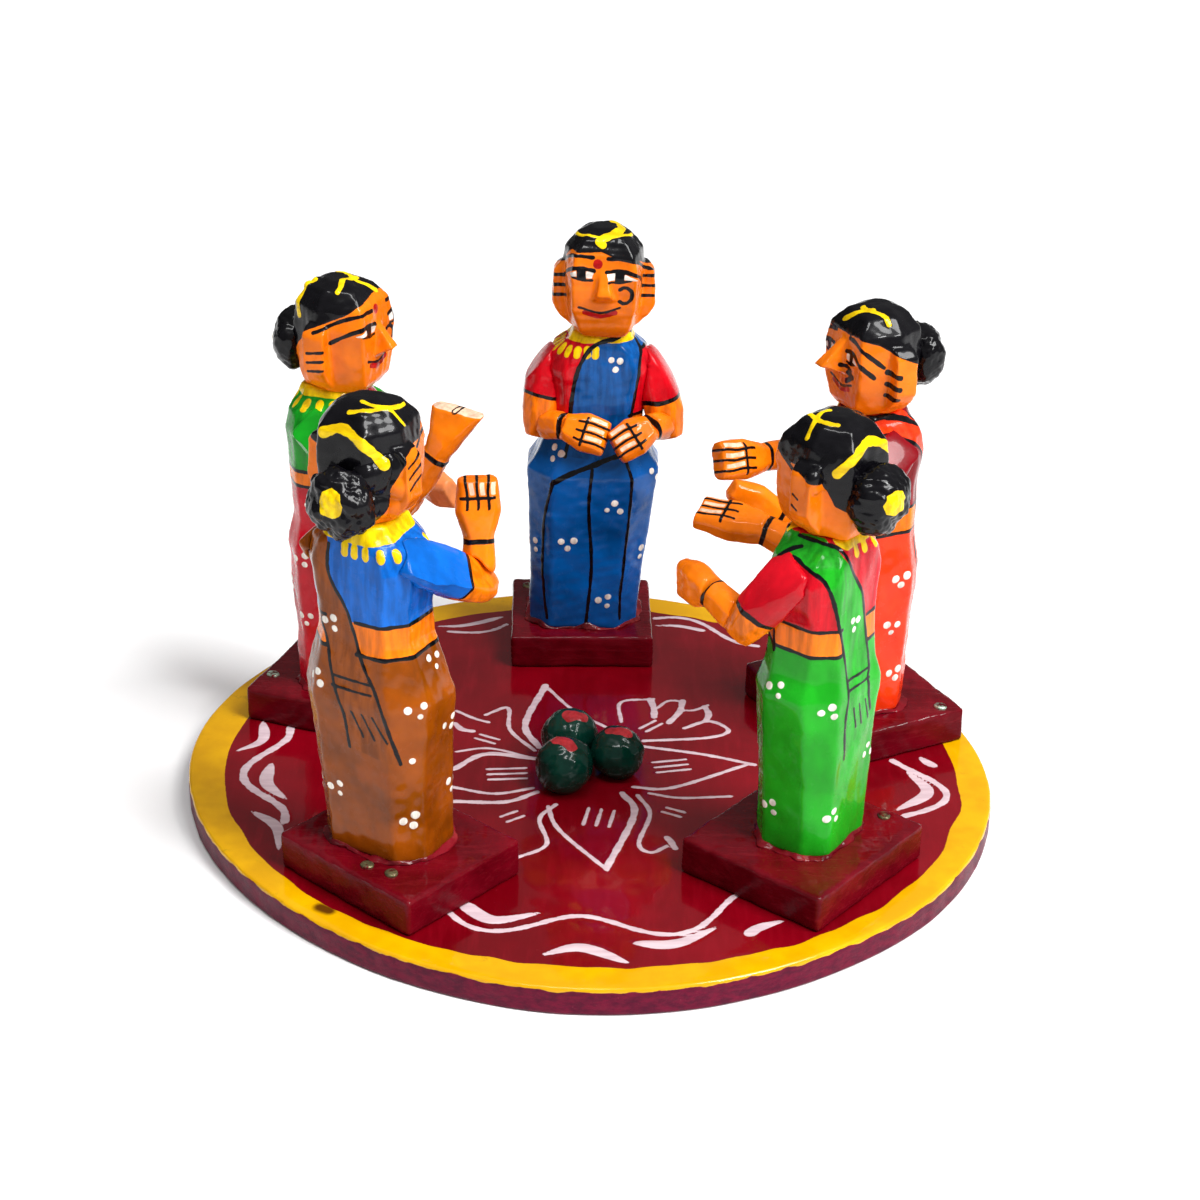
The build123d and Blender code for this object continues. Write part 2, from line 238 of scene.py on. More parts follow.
def head_frame(figure, points):
    """Points in the head's frame, which stands upright on the neck joint."""
    local = body_frame(figure, points)
    rise = local[:, 2] - NECK_TOP
    local[:, 0] += figure["lean"][0] * rise - figure["head_shift"][0]
    local[:, 1] += figure["lean"][1] * rise - NECK_AXIS_Y - figure["head_shift"][1]
    local[:, 2] = rise * figure["height"]
    return turned(local, math.radians(figure["head_turn"]))


def from_body(figure, point):
    """A point of the figure's frame in the frame of the whole model."""
    x, y, z = point
    x, y = x + figure["lean"][0] * z, y + figure["lean"][1] * z
    a = math.radians(figure["facing"] - 90)
    c, s = math.cos(a), math.sin(a)
    sx, sy = figure["stand"]
    return np.array([sx + x * c - y * s, sy + x * s + y * c, PLINTH_TOP + z * figure["height"]])


def curve_through(points, step=1.2, scale=0.22):
    """A smooth line through control points, about a step apart; an angle's degree counts as scale mm."""
    points = np.asarray(points, float)
    if len(points) < 3:
        ends = points if len(points) == 2 else np.repeat(points, 2, 0)
        return np.linspace(ends[0], ends[-1], 8 if len(points) == 2 else 2)
    padded = np.vstack([2 * points[0] - points[1], points, 2 * points[-1] - points[-2]])
    line = []
    for p0, p1, p2, p3 in zip(padded, padded[1:], padded[2:], padded[3:]):
        length = math.hypot((p2[0] - p1[0]) * scale, p2[1] - p1[1])
        for t in np.arange(0, 1, 1 / max(1, math.ceil(length / step))):
            line.append(0.5 * (2 * p1 + (p2 - p0) * t + (2 * p0 - 5 * p1 + 4 * p2 - p3) * t**2
                               + (3 * p1 - p0 - 3 * p2 + p3) * t**3))
    return np.array([*line, points[-1]])


def line_depth(points, line, half, swell=0.1, seed=3):
    """How deep each point lies inside a brush stroke of half width half along line, in 3-D."""
    depth = np.full(len(points), -9.0)
    reach = half + 1.5
    near = np.flatnonzero(((points > line.min(0) - reach) & (points < line.max(0) + reach)).all(1))
    if not len(near):
        return depth
    p = points[near][:, None, :]
    a, b = line[:-1][None], line[1:][None]
    ab = b - a
    t = np.clip(((p - a) * ab).sum(2) / np.maximum((ab**2).sum(2), 1e-9), 0, 1)
    distance = np.linalg.norm(p - (a + ab * t[..., None]), axis=2)
    along = np.arange(len(line) - 1)[None] + t
    width = half * (1 + swell * np.sin(along * 0.9 + seed) + 0.5 * swell * np.sin(along * 2.3 + 2 * seed))
    depth[near] = (width - distance).max(1)
    return depth


class Skin:
    """A painted surface, unrolled about its frame's z axis: angle in degrees, 0 in front, and height."""

    def __init__(self, obj, local):
        self.obj, self.local = obj, local
        self.angle = np.degrees(np.arctan2(local[:, 0], local[:, 1]))
        self.radius = np.hypot(local[:, 0], local[:, 1])
        self.z = local[:, 2]
        self.tree = BVHTree.FromPolygons(local.tolist(), [list(f.vertices) for f in obj.data.polygons])

    def place(self, entry):
        """The surface point for (angle, height) or, on a crown, (angle, height, radius)."""
        angle, z = math.radians(entry[0]), entry[1]
        way = Vector((math.sin(angle), math.cos(angle), 0))
        if len(entry) == 3:
            return self.tree.find_nearest(way * entry[2] + Vector((0, 0, z)))[0]
        hit = self.tree.ray_cast(way * 60 + Vector((0, 0, z)), -way)[0]
        return hit or self.tree.find_nearest(way * 8 + Vector((0, 0, z)))[0]

    def stroke(self, half, entries, seed=3):
        line = np.array([self.place(e) for e in curve_through(entries)])
        return line_depth(self.local, line, half, seed=seed)

    def area(self, entries):
        """Depth inside a closed outline of (angle, height) points."""
        outline = np.asarray(entries, float)
        centre = outline[:, 0].mean()
        u = (self.angle - centre + 180) % 360 - 180
        inside = np.zeros(len(u), bool)
        best = np.full(len(u), 1e9)
        ring = np.vstack([outline, outline[:1]])
        ring[:, 0] -= centre
        mm = np.maximum(self.radius, 2.0) * math.pi / 180
        for (a0, z0), (a1, z1) in zip(ring, ring[1:]):
            crosses = (z0 > self.z) != (z1 > self.z)
            at = a0 + (self.z - z0) * (a1 - a0) / ((z1 - z0) or 1e-9)
            inside ^= crosses & (u < at)
            ax, bx, az, bz = (a0 - u) * mm, (a1 - u) * mm, z0 - self.z, z1 - self.z
            dx, dz = bx - ax, bz - az
            t = np.clip(-(ax * dx + az * dz) / np.maximum(dx**2 + dz**2, 1e-9), 0, 1)
            best = np.minimum(best, np.hypot(ax + dx * t, az + dz * t))
        return np.where(inside, best, -best)

    def above(self, entries):
        """Depth above a line of (angle, height) points that runs right round."""
        line = sorted(((a + 180) % 360 - 180, z) for a, z in entries)
        angles, heights = zip(*line)
        level = np.interp(self.angle, angles, heights, period=360)
        return self.z - level

    def field(self, features):
        """The greatest depth in any of a colour's features."""
        total = np.full(len(self.z), -9.0)
        for number, (kind, *data) in enumerate(features):
            if kind == "area":
                depth = self.area(data[0])
            elif kind == "above":
                depth = self.above(data[0])
            elif kind == "below":
                depth = -self.above(data[0])
            else:
                depth = self.stroke(data[0], data[1], seed=number)
            total = np.maximum(total, depth)
        return total


def store(obj, name, values):
    attribute = obj.data.attributes.new(name, "FLOAT", "POINT")
    attribute.data.foreach_set("value", np.clip(values, -9, 9).astype(np.float32))


def raise_paint(obj, depth, height):
    """Lifts the surface under a coat of paint, with a soft rim."""
    lift = np.clip(depth / 0.5 + 0.5, 0, 1)
    set_points(obj, get_points(obj) + get_normals(obj) * (height * lift * lift * (3 - 2 * lift))[:, None])


# ---- helpers: materials -------------------------------------------------------------------------
class Nodes:
    """A material's node tree, with short calls for the nodes used here."""

    def __init__(self, name):
        self.material = bpy.data.materials.new(name)
        self.material.use_nodes = True
        self.tree = self.material.node_tree
        self.tree.nodes.clear()
        self.shader = self.tree.nodes.new("ShaderNodeBsdfPrincipled")
        output = self.tree.nodes.new("ShaderNodeOutputMaterial")
        self.link(self.shader.outputs[0], output.inputs["Surface"])
        self.place = self.tree.nodes.new("ShaderNodeTexCoord").outputs["Object"]

    def link(self, a, b):
        self.tree.links.new(a, b)

    def put(self, socket, value):
        if isinstance(value, bpy.types.NodeSocket):
            self.link(value, socket)
        else:
            socket.default_value = value

    def noise(self, size, detail=3.0, rough=0.55, stretch=None, shift=0.0):
        """Noise, 0 to 1, with features of about size mm; stretch draws it out along an axis."""
        mapping = self.tree.nodes.new("ShaderNodeMapping")
        self.link(self.place, mapping.inputs["Vector"])
        sx, sy, sz = stretch or (1, 1, 1)
        mapping.inputs["Scale"].default_value = (1 / sx, 1 / sy, 1 / sz)
        mapping.inputs["Location"].default_value = (shift, shift * 0.7, shift * 1.3)
        node = self.tree.nodes.new("ShaderNodeTexNoise")
        self.link(mapping.outputs[0], node.inputs["Vector"])
        node.inputs["Scale"].default_value = 1 / (size * MM)
        node.inputs["Detail"].default_value = detail
        node.inputs["Roughness"].default_value = rough
        return node.outputs["Fac"]

    def range(self, value, low, high, out_low=0.0, out_high=1.0, smooth=True):
        node = self.tree.nodes.new("ShaderNodeMapRange")
        node.interpolation_type = "SMOOTHSTEP" if smooth else "LINEAR"
        self.put(node.inputs["Value"], value)
        ends = (("From Min", low), ("From Max", high), ("To Min", out_low), ("To Max", out_high))
        for key, number in ends:
            node.inputs[key].default_value = number
        return node.outputs["Result"]

    def math(self, operation, a, b=0.0, c=0.0):
        node = self.tree.nodes.new("ShaderNodeMath")
        node.operation = operation
        for socket, value in zip(node.inputs, (a, b, c)):
            self.put(socket, value)
        return node.outputs[0]

    def mix(self, factor, a, b, blend="MIX"):
        node = self.tree.nodes.new("ShaderNodeMix")
        node.data_type = "RGBA"
        node.blend_type = blend
        self.put(node.inputs[0], factor)
        self.put(node.inputs[6], a)
        self.put(node.inputs[7], b)
        return node.outputs[2]

    def attribute(self, name):
        node = self.tree.nodes.new("ShaderNodeAttribute")
        node.attribute_name = name
        return node.outputs["Fac"]

    def finish(self, colour, roughness, height, relief=0.03, coat=0.13, coat_roughness=0.04, specular=0.1):
        self.put(self.shader.inputs["Base Color"], colour)
        self.put(self.shader.inputs["Roughness"], roughness)
        self.shader.inputs["Coat Weight"].default_value = coat
        self.shader.inputs["Coat Roughness"].default_value = coat_roughness
        self.shader.inputs["Specular IOR Level"].default_value = specular
        bump = self.tree.nodes.new("ShaderNodeBump")
        bump.inputs["Strength"].default_value = 1.0
        bump.inputs["Distance"].default_value = relief * MM
        self.put(bump.inputs["Height"], height)
        self.link(bump.outputs[0], self.shader.inputs["Normal"])
        return self.material


def paint_material(name, base, layers=(), wear=None, gloss=0.2, streak=(1, 1, 9), shift=0.0, tone=0.2,
                   coat=0.26):
    """Brushed gloss enamel on wood: a base colour and strokes of other colours over it, in order."""
    n = Nodes(name)
    shade = n.noise(14, 3, shift=shift)
    fine = n.noise(1.6, 4, stretch=streak, shift=shift)
    specks = n.noise(0.9, 2, shift=shift)
    edge = n.math("MULTIPLY", n.math("SUBTRACT", n.noise(1.3, 3), 0.5), 0.3)
    darker = linear([c * (1 - tone) for c in base])
    lighter = linear([min(255, c * (1 + 0.5 * tone) + 5) for c in base])
    colour = n.mix(n.range(shade, 0.3, 0.7), darker, lighter)
    colour = n.mix(n.range(fine, 0.35, 0.75, 0.0, 0.35), colour, linear(base))
    if wear:
        tint, share = wear
        worn = n.math("MULTIPLY", n.range(n.noise(7, 5, 0.65, shift=shift + 0.31), 0.5, 0.68, 0, share),
                      n.range(fine, 0.3, 0.7, 0.4, 1.0))
        colour = n.mix(worn, colour, linear(tint))
    height = n.math("MULTIPLY", fine, 0.5)
    height = n.math("ADD", height, n.math("MULTIPLY", specks, 0.25))
    for attribute, tint in layers:
        depth = n.math("ADD", n.attribute(attribute), edge)
        cover = n.range(depth, -0.06, 0.08)
        light = linear([min(255, c * 1.05 + 6) for c in tint])
        dark = linear([c * 0.84 for c in tint])
        brushed = n.mix(n.range(fine, 0.3, 0.7), dark, light)
        colour = n.mix(cover, colour, brushed)
        height = n.math("ADD", height, n.math("MULTIPLY", n.range(depth, -0.15, 0.3), 0.6))
    roughness = n.range(n.noise(4, 4, shift=shift + 0.2), 0.3, 0.75, gloss, gloss + 0.16)
    return n.finish(colour, roughness, height, coat=coat)


def dress(obj, material, slot, *nodes):
    """Gives a finished piece its material and its place in the frame."""
    obj.data.materials.clear()
    obj.data.materials.append(material)
    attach(obj, "root")
    if nodes:
        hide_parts(*nodes)
    return obj


def trio(angle, z, turn=0.0, size=1.0):
    """Three white dots close together."""
    dots = []
    for k in range(3):
        a = math.radians(turn + 120 * k + 10 * math.sin(angle + 5 * k))
        dots.append(("dot", size * (1 - 0.08 * k), [(angle + 7.2 * math.cos(a), z + 1.6 * math.sin(a))]))
    return dots


# ---- camera and light ---------------------------------------------------------------------------
CAMERA_AT = (0.0, -545.4, 330.5)
CAMERA_HEADING = 0.28         # degrees to the right of straight ahead
CAMERA_DIP = 26.76            # degrees down
CAMERA_ROLL = 0.8             # degrees, its right side up
camera_data = bpy.data.cameras.new("camera")
camera_data.sensor_width = 36.0
camera_data.lens = 72.0
camera_data.clip_start = 0.01
camera = bpy.data.objects.new("camera", camera_data)
bpy.context.scene.collection.objects.link(camera)
heading = Matrix.Rotation(math.radians(-CAMERA_HEADING), 4, "Z")
dip = Matrix.Rotation(math.radians(90 - CAMERA_DIP), 4, "X")
roll = Matrix.Rotation(math.radians(CAMERA_ROLL), 4, "Z")
camera.matrix_world = Matrix.Translation(Vector(CAMERA_AT) * MM) @ heading @ dip @ roll
bpy.context.scene.camera = camera
bpy.context.scene.view_settings.view_transform = "Standard"


def light(name, kind, energy, aim, **settings):
    data = bpy.data.lights.new(name, kind)
    data.energy = energy
    for key, value in settings.items():
        if key != "at":
            setattr(data, key, value)
    obj = bpy.data.objects.new(name, data)
    bpy.context.scene.collection.objects.link(obj)
    at = Vector(settings.get("at", (0, 0, 0))) if "at" in settings else -Vector(aim)
    way = Vector(aim) if "at" not in settings else Vector(aim) - at
    obj.location = at
    obj.rotation_euler = way.to_track_quat("-Z", "Y").to_euler()
    return obj


KEY_WAY = (-0.50, 0.28, -0.80)
light("key_sun", "SUN", 3.3, KEY_WAY, angle=0.45)
CENTRE = (0, 0, 0.05)
light("softbox_right", "AREA", 6.0, CENTRE, at=(0.75, -0.75, 0.85), shape="RECTANGLE", size=0.3, size_y=0.12)
light("softbox_top", "AREA", 3.0, CENTRE, at=(-0.1, -0.3, 1.1), shape="RECTANGLE", size=0.4, size_y=0.1)

world = bpy.data.worlds.new("studio")
bpy.context.scene.world = world
world.use_nodes = True
wt = world.node_tree
wt.nodes.clear()
direction = wt.nodes.new("ShaderNodeTexCoord").outputs["Generated"]
dot = wt.nodes.new("ShaderNodeVectorMath")
dot.operation = "DOT_PRODUCT"
wt.links.new(direction, dot.inputs[0])
dot.inputs[1].default_value = (0.42, -0.45, 0.79)
glow = wt.nodes.new("ShaderNodeMapRange")
glow.interpolation_type = "SMOOTHSTEP"
wt.links.new(dot.outputs["Value"], glow.inputs["Value"])
for key, number in (("From Min", -0.6), ("From Max", 0.9), ("To Min", 0.07), ("To Max", 0.42)):
    glow.inputs[key].default_value = number
background = wt.nodes.new("ShaderNodeBackground")
background.inputs["Color"].default_value = (1, 1, 1, 1)
wt.links.new(glow.outputs["Result"], background.inputs["Strength"])
wt.links.new(background.outputs[0], wt.nodes.new("ShaderNodeOutputWorld").inputs["Surface"])

floor_points = [(0, 0, -0.05)] + [
    (3000 * math.cos(a), 3000 * math.sin(a), -0.05) for a in np.linspace(0, 2 * math.pi, 65)[:-1]
]
floor = make_object("floor", floor_points, [(0, 1 + k, 1 + (k + 1) % 64) for k in range(64)])
fn = Nodes("floor")
floor_colour = fn.mix(fn.noise(220, 2), (0.93, 0.93, 0.93, 1), (0.95, 0.95, 0.95, 1))
fn.put(fn.shader.inputs["Base Color"], floor_colour)
fn.shader.inputs["Roughness"].default_value = 0.7
fn.shader.inputs["Specular IOR Level"].default_value = 0.1
floor.data.materials.append(fn.material)


# ---- board --------------------------------------------------------------------------------------
def rim_radius(angles):
    """The CAD board's outline: its radius towards each angle, in degrees."""
    points = get_points(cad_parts["board"])
    radius = np.hypot(points[:, 0], points[:, 1])
    outer = points[radius > 92]
    a = np.degrees(np.arctan2(outer[:, 1], outer[:, 0]))
    r = np.hypot(outer[:, 0], outer[:, 1])
    bins = ((a + 180) // 4).astype(int)
    centres, widest = [], []
    for b in np.unique(bins):
        members = np.flatnonzero(bins == b)
        top = members[np.argmax(r[members])]
        centres.append(a[top])
        widest.append(r[top])
    order = np.argsort(centres)
    return np.interp(angles, np.array(centres)[order], np.array(widest)[order], period=360)


# White rice-flour drawing on the board, brushed freely: (half width, points in mm from the centre)
FLOWER = [
    # the petal at the back, and the notched one to its left
    (0.9, [(-12, 42), (-17, 20), (-13, 8)]), (0.5, [(-11, 40), (-4, 28), (5, 19)]),
    (0.5, [(-36, 27), (-31, 23), (-27, 21)]), (0.55, [(-28, 25), (-22, 29), (-21, 17), (-14, 6)]),
    (0.8, [(-36, 20), (-34, 17), (-31, 16)]),
    # two petals to the left
    (0.45, [(-35, 5), (-26, 7), (-14, 2)]), (0.85, [(-35, -4), (-27, 4), (-14, 2)]),
    (0.55, [(-35, -13), (-24, -16), (-14, -13)]), (0.75, [(-34, -20), (-21, -20), (-13, -15)]),
    # two petals in front
    (0.55, [(-17, -46), (-10, -40), (-12, -28), (-8, -21)]), (0.55, [(-10, -22), (-7, -33), (5, -51)]),
    (0.85, [(9, -15), (12, -25), (5, -50)]), (0.8, [(20, -36), (21, -38), (22, -41)]),
    (0.55, [(13, -16), (16, -25), (13, -39), (16, -43), (20, -40)]),
    # the long petal to the right and the stroke below it
    (0.6, [(15, 9), (31, 5), (44, 0)]), (0.6, [(12, -12), (22, -12), (42, 0)]),
    (0.5, [(16, -15), (24, -17), (37, -16)]),
    # the scalloped petal behind it
    (0.5, [(9, 22), (9, 33), (18, 35)]), (0.85, [(17, 35), (18, 30), (18, 25)]),
    (0.45, [(19, 30), (22, 34), (26, 34)]), (0.85, [(26, 34), (25, 28), (22, 22)]),
    (0.45, [(25, 29), (29, 29), (33, 32)]), (0.85, [(32, 31), (33, 27), (32, 23)]),
    (0.6, [(26, 19), (33, 23), (38, 18), (32, 14), (15, 12)]),
]
# Short strokes side by side in the petals: (x, y, direction, length, gap, count)
HATCHES = [
    (-27, 12, -28, 6, 2.4, 2), (-21, -6, 5, 10, 2.6, 3), (-19, -27, 35, 5, 3, 2), (3, -27, 80, 8, 3.3, 3),
    (22, -24, -26, 5, 2.4, 2), (22, -1, 12, 9, 2.6, 3), (17, 20, 45, 6, 2.4, 2),
]
# Waves along the rim: (half width, radius, swing, angle of a trough, degrees a wave, from, to)
RIM_WAVES = [
    (0.75, 76, 5, -91, 33.5, -118, -56), (1.0, 85.5, 4.5, 171, 28, 168, 202), (0.9, 87, 7, 4, 26, -17, 2),
    (0.7, 85, 3.5, 58, 27, 54, 77), (0.6, 84, 4, 112, 26, 107, 119),
]
# Teardrops along the waves: (greatest half width, share of the length where it is, points)
DROPS = [
    (1.9, 0.15, [(-30, -66), (-22, -73), (-11, -70)]), (1.7, 0.3, [(11, -82), (21, -82), (31, -75)]),
    (1.7, 0.55, [(-10, -87), (-1, -84), (10, -90)]), (1.5, 0.1, [(38, -78), (41, -75), (47, -72)]),
    (1.5, 0.3, [(-88, 20), (-87, 10), (-93, 4)]), (1.8, 0.35, [(-83, -2), (-83, -12), (-77, -20)]),
    (1.5, 0.4, [(-85, -26), (-78, -33), (-76, -44)]), (1.75, 0.5, [(84, -3), (88, -13), (79, -22)]),
    (1.3, 0.7, [(88, 5), (90, 2), (92, 0)]), (0.9, 0.9, [(18, 79), (26, 79), (34, 76)]),
    (1.0, 0.75, [(-45, 77), (-36, 78), (-25, 84)]),
]
# Inner edge of the yellow band: an oval set a little off the centre
BAND_RADIUS = 93.3
BAND_OVAL, BAND_OVAL_ANGLE = 2.9, -17
BAND_SHIFT, BAND_SHIFT_ANGLE = 1.2, -47


def hatch_strokes(x, y, direction, length, gap, count):
    """Parallel strokes about (x, y)."""
    a = math.radians(direction)
    strokes = []
    for k in range(count):
        off = (k - (count - 1) / 2) * gap
        cx, cy = x - off * math.sin(a), y + off * math.cos(a)
        ends = [(cx + s * length / 2 * math.cos(a), cy + s * length / 2 * math.sin(a)) for s in (-1, 1)]
        strokes.append((0.45, ends))
    return strokes


def wave_stroke(half, radius, swing, trough, degrees, start, end):
    """A wavy line that follows the rim."""
    points = []
    for angle in np.linspace(start, end, 2 + round(abs(end - start) / 4)):
        r = radius - swing * math.cos(2 * math.pi * (angle - trough) / degrees)
        points.append((r * math.cos(math.radians(angle)), r * math.sin(math.radians(angle))))
    return (half, points)


def band_edge(angles):
    """Radius of the yellow band's inner edge towards each angle."""
    oval = BAND_OVAL * np.cos(np.radians(2 * (angles - BAND_OVAL_ANGLE)))
    return BAND_RADIUS + oval + BAND_SHIFT * np.cos(np.radians(angles - BAND_SHIFT_ANGLE))


def flat_curve(points, step=0.9):
    """A smooth line on the board through (x, y) points."""
    line = curve_through(points, step, 1.0)
    return np.column_stack([line, np.zeros(len(line))])


def drop_depth(flat, half, peak, points):
    """Depth inside a teardrop stroke, widest at peak of its length and thin at its ends."""
    line = flat_curve(points, 0.6)
    depth = np.full(len(flat), -9.0)
    for k, (a, b) in enumerate(zip(line, line[1:])):
        t = k / (len(line) - 2)
        share = t / peak if t < peak else (1 - t) / (1 - peak)
        width = half * (0.16 + 0.84 * math.sin(min(1.0, share) * math.pi / 2) ** 0.8)
        depth = np.maximum(depth, line_depth(flat, np.array([a, b]), width, swell=0.0))
    return depth


def build_board():
    segments = 700
    rings = 122
    angles = np.arange(segments) * 360 / segments
    a = np.radians(angles)
    wave = np.column_stack([np.cos(a) * 60, np.sin(a) * 60, np.zeros(segments)])
    rim = rim_radius(angles) + 0.14 * waves(wave, 26, 5) + 0.04 * waves(wave, 6, 6) - 0.12
    # The profile from the middle of the top to the rim, down the side and back under: (share, inset, height)
    profile = [(share, 0.0, BOARD_TOP) for share in np.linspace(0.01, 1.0, rings)[:-1] * 0.985]
    round_off = 0.9
    for turn in (0, 20, 45, 70, 90):
        t = math.radians(turn)
        profile.append((1.0, round_off * (1 - math.sin(t)), BOARD_TOP - round_off * (1 - math.cos(t))))
    profile += [(1.0, 0.0, z) for z in (5.2, 4.2, 3.2, 2.2, 1.2)]
    for turn in (90, 60, 30, 0):
        t = math.radians(turn)
        profile.append((1.0, 0.8 * (1 - math.sin(t)), 0.8 * (1 - math.cos(t))))
    profile += [(share, 0.0, 0.0) for share in (0.9, 0.6, 0.3, 0.05)]
    points = []
    for share, inset, z in profile:
        r = (rim - inset) * share
        points.append(np.column_stack([r * np.cos(a), r * np.sin(a), np.full(segments, z)]))
    points = np.vstack([*points, [(0, 0, BOARD_TOP)], [(0, 0, 0)]])
    faces = []
    for k in range(len(profile) - 1):
        for j in range(segments):
            i = (j + 1) % segments
            outer, inner = k * segments, (k + 1) * segments
            faces.append((outer + j, inner + j, inner + i, outer + i))
    last, top, bottom = (len(profile) - 1) * segments, len(points) - 2, len(points) - 1
    for j in range(segments):
        i = (j + 1) % segments
        faces.append((j, i, top))
        faces.append((last + i, last + j, bottom))
    # A sawn, hand-painted disc: uneven rim and a slightly uneven top
    radius = np.hypot(points[:, 0], points[:, 1])
    outward = points * (1, 1, 0) / np.maximum(radius, 1e-6)[:, None]
    on_side = (points[:, 2] > 0.5) & (points[:, 2] < BOARD_TOP - 0.4)
    points += outward * (0.05 * waves(points, 5, 11) * on_side)[:, None]
    on_top = points[:, 2] > BOARD_TOP - 0.4
    flat = points * (1, 1, 0)
    points[:, 2] += on_top * (0.035 * waves(flat, 26, 12) + 0.012 * waves(flat, 7, 13))
    white = np.full(len(points), -9.0)
    strokes = FLOWER + [wave_stroke(*wave) for wave in RIM_WAVES]
    for hatches in HATCHES:
        strokes += hatch_strokes(*hatches)
    for number, (half, line) in enumerate(strokes):
        white = np.maximum(white, line_depth(flat, flat_curve(line), half * 1.05, seed=number))
    for half, peak, line in DROPS:
        white = np.maximum(white, drop_depth(flat, half, peak, line))
    white[~on_top] = -9
    towards = np.degrees(np.arctan2(points[:, 1], points[:, 0]))
    band = radius - band_edge(towards) - 0.35 * waves(flat, 9, 14)
    side = (BOARD_TOP - 0.75) - points[:, 2] + 0.22 * waves(points, 5, 15)
    stain = line_depth(flat, np.array([(-63.2, -68.7, 0), (-61.0, -70.0, 0)]), 1.7)
    raised_band = on_top * 0.06 * np.clip(band / 0.5 + 0.5, 0, 1)
    points[:, 2] += 0.12 * np.clip(white / 0.4 + 0.5, 0, 1) + raised_band
    board = make_object("board_painted", points, faces)
    for key, depth in (("white", white), ("band", band), ("side", side), ("stain", stain)):
        store(board, key, depth)
    material = board_material()
    return dress(board, material, "board", "board")


def board_material():
    n = Nodes("board_enamel")
    broad = n.noise(34, 4)
    strokes = n.noise(2.2, 4, stretch=(1, 7, 1))
    strokes_2 = n.noise(1.4, 4, stretch=(6, 1, 1), shift=0.4)
    specks = n.noise(1.1, 3, 0.7)
    edge = n.math("MULTIPLY", n.math("SUBTRACT", n.noise(1.6, 3), 0.5), 0.5)
    colour = n.mix(n.range(broad, 0.35, 0.68), linear((100, 0, 10)), linear((124, 2, 18)))
    colour = n.mix(n.range(strokes, 0.45, 0.75, 0, 0.35), colour, linear((134, 10, 26)))
    colour = n.mix(n.range(specks, 0.68, 0.76, 0, 0.35), colour, linear((146, 40, 52)))
    white_depth = n.math("ADD", n.attribute("white"), n.math("MULTIPLY", edge, 0.5))
    chalk = n.mix(n.range(strokes_2, 0.3, 0.7), linear((196, 172, 180)), linear((214, 194, 200)))
    colour = n.mix(n.range(white_depth, -0.1, 0.12), colour, chalk)
    band_depth = n.math("ADD", n.attribute("band"), n.math("MULTIPLY", edge, 0.6))
    clouds = n.range(n.noise(11, 4, shift=0.6), 0.35, 0.7)
    ochre = n.mix(clouds, linear((210, 154, 0)), linear((226, 170, 0)))
    ochre = n.mix(n.range(n.noise(5, 5, 0.7, shift=0.9), 0.6, 0.74, 0, 0.5), ochre, linear((164, 124, 14)))
    ochre = n.mix(n.range(n.attribute("stain"), -0.9, 0.9), ochre, linear((92, 52, 6)))
    colour = n.mix(n.range(band_depth, -0.08, 0.1), colour, ochre)
    side_depth = n.math("ADD", n.attribute("side"), edge)
    # The plum paint round the board's side, made darker than the paint itself: painted shade, standing in
    # for the side getting less light from above
    plum_with_painted_shade = n.mix(n.range(n.noise(3.2, 5, 0.65, stretch=(1, 1, 0.5), shift=0.2), 0.3, 0.7),
                 linear((74, 0, 34)), linear((108, 4, 42)))
    plum_with_painted_shade = n.mix(n.range(n.noise(1.0, 3, shift=0.8), 0.68, 0.76, 0, 0.35), plum_with_painted_shade, linear((140, 50, 70)))
    colour = n.mix(n.range(side_depth, -0.1, 0.15), colour, plum_with_painted_shade)
    matt = n.range(side_depth, -0.1, 0.15)
    gloss = n.range(n.noise(9, 4, shift=0.15), 0.35, 0.7, 0.13, 0.24)
    roughness = n.math("ADD", gloss, n.math("MULTIPLY", matt, 0.25))
    height = n.math("ADD", n.math("MULTIPLY", strokes, 0.35), n.math("MULTIPLY", strokes_2, 0.3))
    height = n.math("ADD", height, n.math("MULTIPLY", n.range(white_depth, -0.15, 0.25), 0.9))
    height = n.math("ADD", height, n.math("MULTIPLY", n.range(band_depth, -0.15, 0.2), 0.8))
    height = n.math("ADD", height, n.math("MULTIPLY", n.noise(1.4, 5, 0.7, stretch=(1, 1, 0.6), shift=0.5),
                                          n.math("MULTIPLY", matt, 3.0)))
    material = n.finish(colour, roughness, height, relief=0.028, specular=0.14)
    n.put(n.shader.inputs["Coat Weight"], n.range(side_depth, -0.1, 0.15, 0.45, 0.0))
    return material


build_board()

# ---- balls --------------------------------------------------------------------------------------
BALL_CAPS = {
    "gobbemma_front": (1.5, [(-9, -12, 21), (-6.5, -13, 22), (-4.5, -15, 21)]),
    "gobbemma_rear": (1.5, [(-5, 1.5, 21), (-3, 1.5, 21), (-1, 1.5, 20.5)]),
    "gobbemma_right": (1.4, [(5.5, -5.5, 20), (8, -6, 20.5), (10, -6, 20)]),
}
for number, (node, (half, cap)) in enumerate(BALL_CAPS.items()):
    ball = carve(f"{node}_painted", node, 0.4, 2, 0.22, 8.0, seed=30 + number)
    red = line_depth(get_points(ball), np.array(cap), half, swell=0.2, seed=number)
    store(ball, "red", red + 0.5 * waves(get_points(ball), 3.5, number))
    raise_paint(ball, red, 0.08)
    enamel = paint_material(f"{node}_enamel", (2, 46, 36), [("red", (176, 44, 50))], gloss=0.16,
                            streak=(1.5, 1.5, 3), shift=number * 0.37, tone=0.25)
    dress(ball, enamel, "ball", node)

